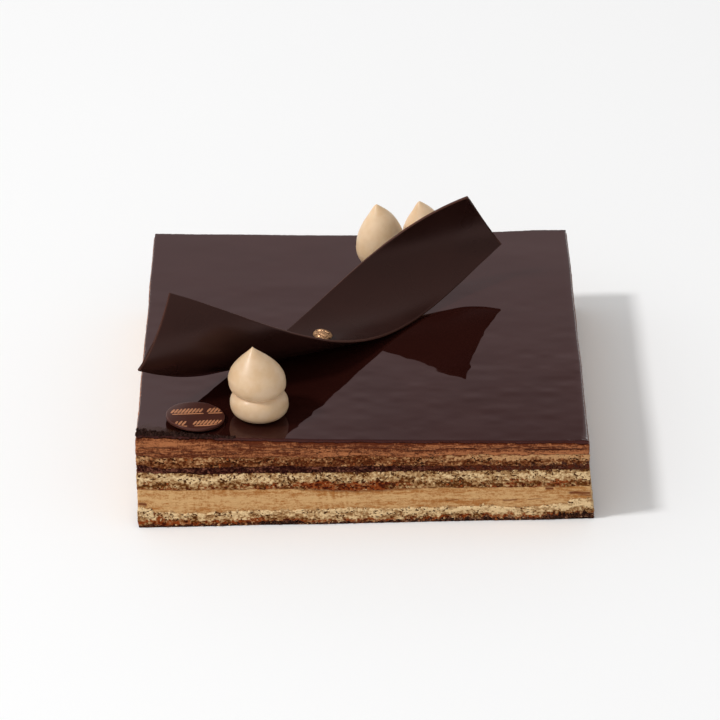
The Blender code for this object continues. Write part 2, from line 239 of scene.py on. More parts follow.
# ================================================================= noise fields
def lattice(seed, *cells):
    """A steady number from 0 to 1 for each lattice cell, by mixing its whole numbers."""
    shape = np.broadcast(*cells).shape
    value = np.full(shape, (seed * 2654435761 + 97) % 2 ** 32, dtype=np.uint32)
    for cell, prime in zip(cells, (73856093, 19349663, 83492791)):
        value = value ^ (cell.astype(np.int64).astype(np.uint32) * np.uint32(prime))
        value = (value ^ (value >> np.uint32(15))) * np.uint32(0x2C1B3C6D)
        value = (value ^ (value >> np.uint32(12))) * np.uint32(0x297A2D39)
        value = value ^ (value >> np.uint32(15))
    return value / 2.0 ** 32


def smooth(share):
    """The smoothstep of a share held between 0 and 1."""
    held = np.clip(share, 0.0, 1.0)
    return held * held * (3.0 - 2.0 * held)


def mix(start, end, share):
    """A value between two ends."""
    return start + (end - start) * share


def hump(values, centre, reach):
    """1 at the centre, falling off as a bell of the given reach."""
    return np.exp(-((values - centre) / reach) ** 2)


def plateau(values, low, high, soft):
    """1 between two ends in millimetres along x, with soft ends."""
    at = values / MILLI
    return smooth((at - low) / soft + 0.5) * smooth((high - at) / soft + 0.5)


def signed_power(values, power):
    """Values raised to a power with their signs kept."""
    return np.sign(values) * np.abs(values) ** power


def circle(count):
    """Angles once round, as one row."""
    return np.linspace(0.0, 2.0 * math.pi, count, endpoint=False)[None, :]


def noise(points, size, seed):
    """Smooth noise from -1 to 1.

    Space is cut into boxes of the given size, every box corner has a steady
    random number, and the eight corners are blended by smoothstep.
    """
    scaled = [np.asarray(axis, float) / step for axis, step in zip(points, size)]
    cells = [np.floor(axis) for axis in scaled]
    blends = [smooth(axis - cell) for axis, cell in zip(scaled, cells)]
    total = 0.0
    for corner in range(8):
        offsets = (corner & 1, corner >> 1 & 1, corner >> 2 & 1)
        weight = 1.0
        for offset, blend in zip(offsets, blends):
            weight = weight * (blend if offset else 1.0 - blend)
        total = total + weight * lattice(seed, *(c + o for c, o in zip(cells, offsets)))
    return 2.0 * total - 1.0


def layered(points, size, seed, octaves=3):
    """Noise added to itself at halved sizes and strengths, about -1 to 1."""
    total, strength, whole = 0.0, 1.0, 0.0
    for octave in range(octaves):
        share = 0.5 ** octave
        total = total + strength * noise(points, [s * share for s in size], seed + 31 * octave)
        whole += strength
        strength *= 0.55
    return total / whole


def pores(run, height, cell, radii, filled, seed):
    """How deep each point lies in a pore: 1 at its middle, 0 outside any pore.

    Each cell of a flat lattice may hold one pore at a random place with a
    random radius, wider than it is high, and its depth is 1 less the squared
    distance in radii.
    """
    column, row = np.floor(run / cell[0]), np.floor(height / cell[1])
    deepest = np.zeros(np.broadcast(run, height).shape)
    for aside in (-1, 0, 1):
        for above in (-1, 0, 1):
            place = (column + aside, row + above)
            centre_run = (place[0] + lattice(seed, *place)) * cell[0]
            centre_height = (place[1] + lattice(seed + 1, *place)) * cell[1]
            radius = radii[0] + (radii[1] - radii[0]) * lattice(seed + 2, *place) ** 2
            wide = radius * (1.0 + 0.8 * lattice(seed + 3, *place))
            away = ((run - centre_run) / wide) ** 2 + ((height - centre_height) / radius) ** 2
            there = lattice(seed + 4, *place) < filled
            deepest = np.maximum(deepest, np.where(there, np.clip(1.0 - away, 0.0, 1.0), 0.0))
    return deepest


# ================================================================ mesh building
def grid_faces(rows, columns, wrapped, first=0):
    """Quads of a grid of points numbered row by row, joined round if wrapped."""
    across = columns if wrapped else columns - 1
    row = np.arange(rows - 1)[:, None] * columns + first
    column = np.arange(across)[None, :]
    after = (column + 1) % columns
    quads = np.stack([row + column, row + columns + column,
                      row + columns + after, row + after], -1)
    return quads.reshape(-1, 4)


def fan_faces(pole, start, columns, upwards):
    """Triangles from one pole to a ring of points, facing up or down."""
    column = np.arange(columns)
    ring, after = start + column, start + (column + 1) % columns
    centre = np.full(columns, pole)
    order = (centre, ring, after) if upwards else (centre, after, ring)
    return np.stack(order, -1)


def make_mesh(name, points, quads, triangles, fields=None, inside=True):
    """A mesh from arrays of points, quads and triangles, with named point values.

    Points of the cake that stand a hair outside its frame are drawn back to it.
    """
    mesh = bpy.data.meshes.new(name)
    points = np.asarray(points, float).reshape(-1, 3)
    if inside:
        points = np.clip(points, np.array(FRAME_LOW) + INSIDE_BY,
                         np.array(FRAME_HIGH) - INSIDE_BY)
    points = points.astype(np.float32)
    quads = np.asarray(quads, np.int32).reshape(-1, 4)
    triangles = np.asarray(triangles, np.int32).reshape(-1, 3)
    corners = np.concatenate([quads.ravel(), triangles.ravel()])
    totals = np.concatenate([np.full(len(quads), 4), np.full(len(triangles), 3)])
    starts = np.concatenate([[0], np.cumsum(totals)[:-1]])
    mesh.vertices.add(len(points))
    mesh.vertices.foreach_set("co", points.ravel())
    mesh.loops.add(len(corners))
    mesh.loops.foreach_set("vertex_index", corners.astype(np.int32))
    mesh.polygons.add(len(totals))
    mesh.polygons.foreach_set("loop_start", starts.astype(np.int32))
    mesh.polygons.foreach_set("loop_total", totals.astype(np.int32))
    mesh.update(calc_edges=True)
    mesh.validate()
    for field, values in (fields or {}).items():
        kept = mesh.attributes.new(field, "FLOAT", "POINT")
        kept.data.foreach_set("value", np.asarray(values, np.float32).ravel())
    mesh.shade_smooth()
    return mesh


def place_piece(name, mesh, material, slot, *nodes):
    """Link a finished piece, ride it on the cake and let it stand for its nodes."""
    mesh.materials.append(material)
    piece = bpy.data.objects.new(name, mesh)
    bpy.context.scene.collection.objects.link(piece)
    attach(piece, BODY)
    if nodes:
        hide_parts(*nodes)


def closed_tube(rings, first_pole, last_pole):
    """Points and faces of stacked rings closed by a pole at each end.

    The rings run from the upper pole to the lower one, each anticlockwise seen
    from above.
    """
    rows, columns = rings.shape[:2]
    points = np.concatenate([rings.reshape(-1, 3), [first_pole], [last_pole]])
    quads = grid_faces(rows, columns, True)
    top = fan_faces(rows * columns, 0, columns, True)
    bottom = fan_faces(rows * columns + 1, (rows - 1) * columns, columns, False)
    return points, quads, np.concatenate([top, bottom])


def with_poles(field, first=0.0, last=0.0):
    """A field of ring values followed by the values at the two poles."""
    return np.concatenate([np.asarray(field, float).ravel(), [first, last]])


def moved_into(points, node):
    """Points shifted so that their box has the same centre as a node's box."""
    low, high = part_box(node)
    middle = 0.5 * (np.array(low) + np.array(high))
    return points + (middle - 0.5 * (points.min(0) + points.max(0)))


# ================================================================ material tools
def add_node(tree, kind, values=None, **settings):
    """A shader node with its settings, and values set on its own sockets."""
    made = tree.nodes.new(kind)
    for key, value in settings.items():
        setattr(made, key, value)
    for key, value in (values or {}).items():
        made.inputs[key].default_value = value
    return made


def feed(tree, value, socket):
    """Link an output to a socket, or set the socket to a plain value."""
    if isinstance(value, bpy.types.NodeSocket):
        tree.links.new(value, socket)
    elif hasattr(value, "__len__") and len(value) == 3 and len(socket.default_value) == 4:
        socket.default_value = (*value, 1.0)
    else:
        socket.default_value = value


def shade(colour, share):
    """A colour times a share, or times one share for each channel."""
    return tuple(float(part) for part in np.array(colour) * share)


def mixed(tree, share, first, second):
    """A blend of two colours by a share."""
    made = add_node(tree, "ShaderNodeMix", data_type="RGBA", clamp_factor=True)
    feed(tree, share, made.inputs[0])
    feed(tree, first, made.inputs[6])
    feed(tree, second, made.inputs[7])
    return made.outputs[2]


def sums(tree, kind, first, second=0.0, third=0.0):
    """A math node on plain values or outputs."""
    made = add_node(tree, "ShaderNodeMath", operation=kind)
    for value, socket in zip((first, second, third), made.inputs):
        feed(tree, value, socket)
    return made.outputs[0]


def spread(tree, value, low, high, to_low=0.0, to_high=1.0):
    """A value carried from one range to another along a smoothstep."""
    made = add_node(tree, "ShaderNodeMapRange", interpolation_type="SMOOTHSTEP")
    feed(tree, value, made.inputs["Value"])
    for name, number in (("From Min", low), ("From Max", high),
                         ("To Min", to_low), ("To Max", to_high)):
        feed(tree, number, made.inputs[name])
    return made.outputs["Result"]


def speckle(tree, size, detail=3.0, roughness=0.55, stretch=(1.0, 1.0, 1.0)):
    """Noise in the piece's own coordinates, its grains about the given size."""
    place = add_node(tree, "ShaderNodeTexCoord")
    scaled = add_node(tree, "ShaderNodeMapping", {"Scale": tuple(1.0 / s for s in stretch)})
    tree.links.new(place.outputs["Object"], scaled.inputs["Vector"])
    made = add_node(tree, "ShaderNodeTexNoise",
                    {"Scale": 1.0 / size, "Detail": detail, "Roughness": roughness})
    tree.links.new(scaled.outputs["Vector"], made.inputs["Vector"])
    return made.outputs["Fac"]


def field(tree, name):
    """A point value stored on the piece."""
    return add_node(tree, "ShaderNodeAttribute", attribute_name=name).outputs["Fac"]


def shared_group(name, colours, numbers, build):
    """A node group that gives a colour, a roughness and a height, made only once.

    Its inputs are colours, by label, and numbers, by label and default; build
    works out the three results in the group's tree from its inputs.
    """
    if name in bpy.data.node_groups:
        return bpy.data.node_groups[name]
    tree = bpy.data.node_groups.new(name, "ShaderNodeTree")
    inputs = [(label, COLOUR, GREY) for label in colours]
    inputs += [(label, NUMBER, default) for label, default in numbers.items()]
    for label, kind, default in inputs:
        made = tree.interface.new_socket(label, in_out="INPUT", socket_type=kind)
        made.default_value = default
    results = {"Color": COLOUR, "Roughness": NUMBER, "Height": NUMBER}
    for label, kind in results.items():
        tree.interface.new_socket(label, in_out="OUTPUT", socket_type=kind)
    given = add_node(tree, "NodeGroupInput").outputs
    out = add_node(tree, "NodeGroupOutput").inputs
    for label, value in zip(results, build(tree, given)):
        tree.links.new(value, out[label])
    return tree


def crumb_nodes(tree, given):
    """Baked crumb: dark, middling and pale grains, soaked parts, and pores darkened with painted
    shade.
    """
    grain = speckle(tree, 0.0009, 3.0, 0.65)
    fine = speckle(tree, 0.0003, 2.0)
    jitter = sums(tree, "SUBTRACT", grain, 0.5)
    tone = sums(tree, "ADD", given["Tone"], sums(tree, "MULTIPLY", jitter, 1.3))
    body = mixed(tree, spread(tree, tone, -0.15, 0.5), given["Dark"], given["Middle"])
    body = mixed(tree, spread(tree, tone, 0.38, 1.35), body, given["Light"])
    soak = sums(tree, "SUBTRACT", given["Soak"], sums(tree, "MULTIPLY", jitter, 0.9))
    wet = spread(tree, soak, 0.15, 0.95)
    soaked = mixed(tree, spread(tree, tone, -0.45, 0.2), given["Wet Hole"], given["Soaked"])
    soaked = mixed(tree, spread(tree, tone, 0.2, 1.3, 0.0, 0.7), soaked, given["Middle"])
    body = mixed(tree, wet, body, soaked)
    # Painted shade: the deeper a pore, the more the crumb is darkened towards the hole colour.
    pit = sums(tree, "SUBTRACT", given["Pit"], sums(tree, "MULTIPLY", jitter, 0.5))
    hole_shade = mixed(tree, wet, given["Hole"], given["Wet Hole"])
    body = mixed(tree, spread(tree, pit, 0.1, 0.75), body, hole_shade)
    return (body, spread(tree, given["Soak"], 0.0, 1.0, 0.85, 0.6),
            sums(tree, "ADD", grain, sums(tree, "MULTIPLY", fine, 0.6)))


def smear_nodes(tree, given):
    """Spread cream: level smears between two colours, with dark drag lines."""
    level = speckle(tree, 0.0010, 4.0, 0.65, (4.5, 4.5, 0.7))
    fine = speckle(tree, 0.0007, 3.0, 0.65)
    streak = sums(tree, "MULTIPLY", sums(tree, "SUBTRACT", level, 0.5), given["Streak"])
    grain = sums(tree, "MULTIPLY", sums(tree, "SUBTRACT", fine, 0.5), given["Streak"])
    tone = sums(tree, "ADD", given["Tone"], sums(tree, "ADD", streak, grain))
    body = mixed(tree, spread(tree, tone, 0.0, 1.0), given["Deep"], given["Bright"])
    body = mixed(tree, spread(tree, given["Line"], 0.1, 0.9), body, given["Crack"])
    return (body, spread(tree, fine, 0.2, 0.8, 0.42, 0.6),
            sums(tree, "ADD", level, sums(tree, "MULTIPLY", fine, 0.5)))


def chocolate_nodes(tree, given):
    """Set chocolate: a base colour with a faint bloom, and slight unevenness of gloss."""
    cloud = speckle(tree, 0.018, 2.0, 0.5)
    dust = speckle(tree, 0.0006, 3.0)
    share = sums(tree, "MULTIPLY", spread(tree, cloud, 0.35, 0.8), given["Bloom Share"])
    uneven = spread(tree, cloud, 0.3, 0.7, -0.04, 0.05)
    return (mixed(tree, share, given["Colour"], given["Bloom"]),
            sums(tree, "ADD", given["Gloss"], uneven), dust)


def new_material(name):
    """A material with a Principled surface; returns it with its tree and shader."""
    made = bpy.data.materials.new(name)
    made.use_nodes = True
    return made, made.node_tree, made.node_tree.nodes["Principled BSDF"]


def use_group(tree, group, **values):
    """Place a node group in a material and feed its inputs."""
    made = add_node(tree, "ShaderNodeGroup", node_tree=group)
    for label, value in values.items():
        feed(tree, value, made.inputs[label.replace("_", " ")])
    return made.outputs


def paint(tree, shader, colour, roughness):
    """Link a colour and a roughness to the shader."""
    tree.links.new(colour, shader.inputs["Base Color"])
    tree.links.new(roughness, shader.inputs["Roughness"])


def emboss(tree, shader, height, strength, distance):
    """Link a height to the shader's normal through a bump."""
    relief = add_node(tree, "ShaderNodeBump", {"Strength": strength, "Distance": distance})
    tree.links.new(height, relief.inputs["Height"])
    tree.links.new(relief.outputs["Normal"], shader.inputs["Normal"])


def set_specular(shader, level, tint_green, tint_blue):
    """Set how strong the shader's reflection is, and its tint beside full red."""
    shader.inputs["Specular IOR Level"].default_value = level
    shader.inputs["Specular Tint"].default_value = (1.0, tint_green, tint_blue, 1.0)


def crumb_material(name, light, middle, dark, soaked, hole_shade, wet_hole_shade, specular=0.12):
    """Cut crumb: colours steered by the tone, soak and pore depth of each point, with painted
    shade darkening the pores.
    """
    made, tree, shader = new_material(name)
    group = shared_group("baked_crumb", ("Light", "Middle", "Dark", "Soaked", "Hole", "Wet Hole"),
                         {"Tone": 0.5, "Soak": 0.0, "Pit": 0.0}, crumb_nodes)
    outputs = use_group(tree, group, Light=light, Middle=middle, Dark=dark, Soaked=soaked,
                        Hole=hole_shade, Wet_Hole=wet_hole_shade, Tone=field(tree, "tone"),
                        Soak=field(tree, "soak"), Pit=field(tree, "pit"))
    paint(tree, shader, outputs["Color"], outputs["Roughness"])
    emboss(tree, shader, outputs["Height"], 0.5, 0.0002)
    set_specular(shader, specular, 0.6, 0.4)
    return made


def cream_material(name, bright, deep, crack, streak):
    """Coffee cream: smears steered by the tone and the line of each point."""
    made, tree, shader = new_material(name)
    group = shared_group("spread_cream", ("Bright", "Deep", "Crack"),
                         {"Tone": 0.5, "Line": 0.0, "Streak": 0.3}, smear_nodes)
    outputs = use_group(tree, group, Bright=bright, Deep=deep, Crack=crack,
                        Tone=field(tree, "tone"), Line=field(tree, "line"), Streak=streak)
    paint(tree, shader, outputs["Color"], outputs["Roughness"])
    emboss(tree, shader, outputs["Height"], 0.25, 0.0001)
    set_specular(shader, 0.2, 0.65, 0.45)
    return made


def chocolate_material(name, colour, bloom, gloss, share, bump, edge):
    """Set chocolate of one colour with a bloom, matt along its edges, where a paler colour paints
    a highlight.
    """
    made, tree, shader = new_material(name)
    group = shared_group("set_chocolate", ("Colour", "Bloom"),
                         {"Gloss": 0.3, "Bloom Share": 0.2}, chocolate_nodes)
    outputs = use_group(tree, group, Colour=colour, Bloom=bloom, Gloss=gloss,
                        Bloom_Share=share)
    rim = field(tree, "edge")
    paint(tree, shader, mixed(tree, rim, outputs["Color"], edge),
          sums(tree, "MULTIPLY_ADD", rim, 0.3, outputs["Roughness"]))
    emboss(tree, shader, outputs["Height"], bump, 0.0001)
    set_specular(shader, 0.36, 0.6, 0.55)
    return made


# ================================================================ the cake's form
def glaze_height(form, x, y):
    """The glaze's top: level at the back, rising with the cube of nearness to the front left."""
    across = np.clip(x / form.width + 0.5, 0.0, 1.0)
    forward = np.clip((form.back_left - y) / (form.back_left - form.front_edge), 0.0, 1.0)
    back = mix(form.top_back_left, form.top_back_right, across)
    front = mix(form.top_front_right, form.top_front_left, (1.0 - across) ** 2.2)
    return mix(back, front, forward ** 3)


def side_wave(run):
    """How far a cut side wanders in and out, a sum of two waves."""
    return 0.00012 * np.sin(70.0 * run + 1.7) + 0.00008 * np.sin(133.0 * run + 3.9)


class Outline:
    """The cake's outline as columns that run round it from the front left corner.

    Each column has its share across and along the cake, its outward direction,
    its side and its run, the way gone along the outline in metres.  Inside a
    corner's radius the square is drawn in to a quarter circle.
    """

    def __init__(self, form, counts):
        self.form = form
        # each side's start across and along the cake, and the way it then goes
        ends = ((-0.5, -0.5, 1, 0), (0.5, -0.5, 0, 1), (0.5, 0.5, -1, 0), (-0.5, 0.5, 0, -1))
        x, y, side = [], [], []
        for number, (end, count) in enumerate(zip(ends, counts)):
            share = np.arange(count) / count
            x.append((end[0] + end[2] * share) * form.width)
            y.append((end[1] + end[3] * share) * form.depth)
            side.append(np.full(count, number))
        x, y = np.concatenate(x), np.concatenate(y)
        self.side = np.concatenate(side)
        reach_x = np.maximum(np.abs(x) - (0.5 * form.width - form.corner), 0.0) / form.corner
        reach_y = np.maximum(np.abs(y) - (0.5 * form.depth - form.corner), 0.0) / form.corner
        far = np.maximum(np.hypot(reach_x, reach_y), 1e-9)
        turned = (reach_x > 0.0) & (reach_y > 0.0)
        shrink = np.where(turned, 1.0 - 1.0 / far, 0.0) * form.corner
        self.outward_x = np.sign(x) * reach_x / far
        self.outward_y = np.sign(y) * reach_y / far
        x = x - self.outward_x * shrink * far
        y = y - self.outward_y * shrink * far
        self.across = x / form.width + 0.5
        self.along = y / form.depth + 0.5
        self.x, self.y = x, y
        steps = np.hypot(np.diff(x, append=x[0]), np.diff(y, append=y[0]))
        self.run = np.concatenate([[0.0], np.cumsum(steps)[:-1]])
        self.front = self.side == FRONT
        self.columns = len(x)

    @property
    def flat(self):
        """Where the columns stand on the ground."""
        return self.x, self.y, 0.0 * self.x

    def places(self, height):
        """Where points stand, one row of columns for each row of heights."""
        return self.x[None, :], self.y[None, :], height

    def taken(self, columns):
        """The outline with only the given columns."""
        part = copy.copy(self)
        for key, values in vars(self).items():
            if isinstance(values, np.ndarray):
                setattr(part, key, values[columns])
        part.columns = len(columns)
        return part

    def at(self, height, out):
        """x and y of the cake's side at a height, moved outwards."""
        form = self.form
        share = height / form.top_front_right
        shoulder = mix(form.shoulder_front, form.shoulder_back, self.along)
        wave = side_wave(self.run)
        left = -0.5 * form.width
        right = shoulder + form.flare * np.maximum(1.0 - share, 0.0) ** 2
        foot = mix(form.foot_left, form.foot_right, self.across)
        front = mix(foot, form.front_edge, share)
        hollow = np.sin(math.pi * np.clip(self.across / 0.92, 0.0, 1.0) ** 1.25)
        back = mix(form.back_left, form.back_right, self.across) - form.back_hollow * hollow
        x = mix(left, right, self.across) + self.outward_x * (out + wave)
        y = mix(front, back, self.along) + self.outward_y * (out + wave)
        return x, y


# Each joint's level between two layers on the sides: its height, how much it
# climbs over the cake's width, how far it rises at the left and right corners
# of the cut face, its raggedness and the length of a rag, all in millimetres.
JOINTS = {
    "base": (0.9, 0.0, 0.2, 1.6, 0.9, 2.2),
    "sponge_bottom": (7.7, 0.6, 0.0, 1.8, 1.3, 3.2),
    "cream_lower": (18.3, -0.9, 1.2, -0.3, 0.55, 3.4),
    "sponge_middle": (27.05, 0.1, 1.0, -0.1, 0.65, 2.2),
    "ganache": (29.9, -0.5, 1.3, 0.0, 0.9, 1.9),
    "sponge_top": (35.2, -0.3, 0.9, -0.6, 1.0, 2.6),
}
JOINT_SEEDS = {name: 100 + 17 * number for number, name in enumerate(JOINTS)}


def joint(name):
    """A function of the outline that gives a joint's height at every column."""
    level, climb, left_rise, right_rise, ragged, rag = JOINTS[name]

    def height(outline):
        left = hump(outline.x, -0.5 * outline.form.width, 0.0075)
        right = hump(outline.x, 0.5 * outline.form.width, 0.0095)
        raised = (left_rise * left + right_rise * right) * np.where(outline.front, 1.0, 0.3)
        tilted = climb * outline.x / outline.form.width
        wobble = layered(outline.flat, [rag * MILLI] * 3, JOINT_SEEDS[name], 4)
        slow = noise(outline.flat, [0.017] * 3, JOINT_SEEDS[name] + 5)
        extra = FEATURES.get(name, lambda o: 0.0)(outline)
        return MILLI * (level + tilted + raised + ragged * (wobble + 0.7 * slow) + extra)

    return height


def base_features(outline):
    """The chocolate is thicker in two stretches of the cut face."""
    lumps = np.abs(layered(outline.flat, [0.0028] * 3, 7, 3))
    stretch = 0.9 * plateau(outline.x, -47.0, -28.0, 3.0)
    chips = plateau(outline.x, 78.0, 97.0, 5.0) * (1.2 + 4.5 * lumps)
    chips = chips + plateau(outline.x, 34.0, 78.0, 10.0) * 2.4 * lumps
    return np.where(outline.front, stretch + chips + 0.7 * lumps, 0.9 + 1.2 * lumps)


def block_features(outline):
    """The bottom sponge stands higher as a block at the left corner of the cut
    face, and climbs in a pale clump at the right."""
    block = 2.9 * plateau(outline.x, -104.0, -93.2, 2.2)
    block = block + 0.7 * plateau(outline.x, -93.2, -84.0, 3.0)
    clump = 2.2 * plateau(outline.x, 89.5, 106.0, 2.2)
    return np.where(outline.front, block + clump, 0.6)


def bleed_features(outline):
    """The lower cream's top dips where the sponge above it is soaked through."""
    return np.where(outline.front, -0.9 * hump(outline.x, 0.001, 0.017), 0.0)


def glaze_joint(outline):
    """The joint under the glaze, which follows the glaze and is notched at the left."""
    form = outline.form
    x, y = outline.at(form.top_front_right, 0.0)
    top = glaze_height(form, x, y)
    ragged = layered(outline.flat, [0.0023] * 3, 61, 4)
    slow = noise(outline.flat, [0.009] * 3, 67)
    notched = np.where(outline.front, 0.5 + 0.7 * plateau(outline.x, -101.0, -58.0, 10.0), 0.6)
    hang = np.where(outline.front, 0.25 * plateau(outline.x, -104.0, -10.0, 30.0) - 0.45, 0.1)
    blob = np.where(outline.front, 1.1 * hump(outline.x, 0.0975, 0.0032), 0.0)
    blob = blob + np.where(outline.side == RIGHT, 0.9, 0.0)
    uneven = (0.9 * ragged + 0.35 * slow) * notched - hang - blob
    return top - form.glaze_thickness + MILLI * uneven


FEATURES = {"base": base_features, "sponge_bottom": block_features,
            "cream_lower": bleed_features}


def slab(name, form, lower, upper, relief, rows, counts, material, slot, node):
    """One layer as a closed slab whose four sides carry a relief.

    Rows run down the side from the upper joint to the lower one, and one ring
    and a pole close the slab above and below, just inside its joints.
    """
    outline = Outline(form, counts)
    top, low = upper(outline), lower(outline)
    low = np.minimum(low, top - 0.3 * MILLI)
    share = np.linspace(0.0, 1.0, rows)[:, None]
    height = mix(top[None, :], low[None, :], share)
    out, fields = relief(outline, height, share)
    edge = 1.0 - np.abs(2.0 * share - 1.0) ** 10
    x, y = outline.at(height, out * edge - 0.12 * MILLI * (1.0 - edge))
    wall = np.stack([x, y, height], -1)
    upper_ring = wall[0] * CAP_SHARE - [0.0, 0.0, CAP_DROP]
    lower_ring = wall[-1] * CAP_SHARE + [0.0, 0.0, CAP_DROP if low.min() > 0.0 else 0.0]
    rings = np.concatenate([[upper_ring], wall, [lower_ring]])
    poles = (0.0, 0.0, float(np.median(top)) - CAP_DROP), (0.0, 0.0, float(np.median(low)))
    kept = {}
    for key, values in fields.items():
        whole = np.broadcast_to(values, height.shape)
        kept[key] = with_poles(np.concatenate([whole[:1], whole, whole[-1:]]))
    points, quads, triangles = closed_tube(rings, *poles)
    mesh = make_mesh(name, points, quads, triangles, kept)
    place_piece(name, mesh, material, slot, node)


def underside(outline):
    """The flat face that the cake stands on."""
    return np.zeros(outline.columns)


# ---------------------------------------------------------------- side reliefs
def spots(outline, height, listed):
    """A field of soft spots on the cut face, listed in millimetres: x, height,
    half width, half height, strength."""
    total = np.zeros(height.shape)
    for x, z, wide, high, strength in listed:
        away = (np.abs(outline.x / MILLI - x) / wide) ** 2.5
        away = away + (np.abs(height / MILLI - z) / high) ** 2.5
        total = total + strength * np.exp(-away)
    return np.where(outline.front, total, 0.0)


def threads(outline, height, listed, seed):
    """Thin wandering lines on the cut face, listed in millimetres: start x,
    end x, height, climb, half thickness, depth."""
    total = np.zeros(height.shape)
    for number, (start, end, level, climb, thick, depth) in enumerate(listed):
        wander = 0.35 * layered(outline.flat, [0.004] * 3, seed + number, 3)
        share = (outline.x / MILLI - start) / (end - start)
        line = level + climb * share + wander
        along = smooth(6.0 * share) * smooth(6.0 * (1.0 - share))
        swell = thick * (0.5 + 0.5 * along)
        total = np.maximum(total, depth * along * np.exp(-((height / MILLI - line) / swell) ** 2))
    return np.where(outline.front, total, 0.0)


def crumb_relief(seed, look, proud, size=1.0, depth=0.5, holes=0.5, contrast=1.0):
    """A function that gives a crumbly side its outward offset and its fields.

    Clumps are wide noise, crevices are the thin places where a second noise
    passes through nought, hollows are where a third noise is high, and pores
    are small round holes; the look gives the tone and the soaking of the
    clean crumb.  Crevices, hollows and pores are sunk into the side, and
    their colour is also darkened as painted shade.
    """

    def relief(outline, height, share):
        places = outline.places(height)

        def grains(wide, high, step, octaves):
            box = np.array((wide, wide, high)) * size * MILLI
            return layered(places, box, seed + step, octaves)

        lumps = grains(4.2, 1.9, 0, 4)
        grain = grains(1.0, 0.8, 7, 3)
        split = grains(2.2, 1.3, 13, 3)
        cluster = grains(6.0, 2.4, 19, 1)
        rough = grains(0.95, 0.72, 37, 3)
        patch_wet = grains(3.2, 1.5, 43, 3)
        shaded_crevice = np.exp(-(split / 0.05) ** 2) * smooth((cluster + 0.1) / 0.5)
        open_by = rough - 0.46 + 0.35 * holes + 0.30 * np.clip(cluster, -0.5, 0.4)
        hollow = smooth(open_by / 0.24 + 0.5)
        bent = outline.run[None, :] + 0.0005 * lumps
        raised = height + 0.0004 * split
        small = pores(bent, raised, (0.0011, 0.0009), (0.00013, 0.00030), 0.5, seed + 29)
        # How deep the point is sunk, and how much painted shade darkens its colour.
        pit = np.clip(0.9 * hollow + 0.45 * small + 0.5 * shaded_crevice, 0.0, 1.0)
        out = proud + MILLI * (0.34 * lumps + 0.26 * grain - 0.8 * depth * pit)
        tone, soak = look(outline, height, share)
        tone = tone + contrast * (lumps + grain)
        soak = soak + (0.4 * lumps + 1.1 * patch_wet - 0.6 * grain) * smooth(2.5 * soak)
        return out, {"tone": tone, "soak": soak, "pit": pit}

    return relief


def cream_relief(seed, look, proud, rough=0.10, mottle=1.0):
    """A function that gives a cream side its outward offset and its fields."""

    def relief(outline, height, share):
        places = outline.places(height)
        smear = layered(places, (0.012, 0.012, 0.0015), seed, 4)
        ripple = layered(places, (0.0052, 0.0052, 0.0009), seed + 7, 3)
        grain = layered(places, (0.0015, 0.0015, 0.0006), seed + 11, 2)
        tone, line = look(outline, height, share, places)
        out = proud + MILLI * (rough * (smear + 0.8 * ripple + 0.5 * grain)
                               - 0.35 * np.clip(line, 0.0, 1.0))
        tone = tone + mottle * (0.42 * smear + 0.46 * ripple + 0.55 * grain)
        return out, {"tone": tone, "line": line + 0.12 * mottle * (smear + ripple)}

    return relief


# ------------------------------------------------------------ the layers' marks
def middle_look(outline, height, share):
    """The middle sponge: palest a quarter of the way down, browner towards its
    foot, which coffee has soaked, most of all half-way along the cut face."""
    at = outline.x / MILLI
    sides = smooth((np.abs(at + 6.0) - 12.0) / 48.0)
    tone = 0.27 + 0.16 * sides + 0.30 * hump(share, 0.27, 0.24)
    tone = tone - 0.26 * smooth((share - 0.45) / 0.35)
    deep = 0.30 + 0.16 * smooth((at + 62.0) / 20.0)
    deep = deep + 0.12 * noise(outline.flat, [0.006] * 3, 311)
    deep = np.where(outline.front, deep, 0.30)
    wet = smooth((share - (1.0 - deep)) / 0.30 + 0.5)
    tone = tone + 0.08 * (1.0 - sides) * smooth((share - 0.6) / 0.15)
    stains = spots(outline, height, ((-23.0, 20.6, 4.5, 1.6, 0.35), (-1.0, 20.3, 13.0, 2.2, 0.75),
                                     (29.0, 20.6, 12.0, 2.6, -0.45),
                                     (87.0, 20.0, 5.0, 2.0, 0.3), (-97.0, 23.0, 3.5, 3.0, 0.3)))
    pale = spots(outline, height, ((-74.0, 24.0, 5.0, 1.4, 0.5), (-58.0, 25.2, 6.0, 1.0, 0.4),
                                   (-86.0, 25.0, 6.0, 1.2, 0.3), (-33.0, 24.6, 7.0, 1.3, 0.3),
                                   (46.0, 24.3, 5.0, 1.6, 0.45), (66.0, 24.6, 4.0, 1.2, 0.3),
                                   (96.0, 22.5, 4.0, 2.6, 0.5), (81.0, 24.5, 4.0, 1.2, 0.3)))
    return tone + pale, (0.40 + 0.26 * (1.0 - sides)) * wet + stains


def top_look(outline, height, share):
    """The top sponge: brown all through, with paler crumbs above at both ends."""
    at = outline.x / MILLI
    ends = 0.42 * smooth((-44.0 - at) / 20.0) + 0.66 * smooth((at - 22.0) / 30.0)
    ends = np.where(outline.front, ends, 0.3)
    tone = 0.38 - 0.14 * share + ends * smooth((0.62 - share) / 0.35)
    tone = tone + 0.16 * smooth((at - 10.0) / 40.0)
    return tone, 0.22 + 0.0 * share - 0.3 * ends


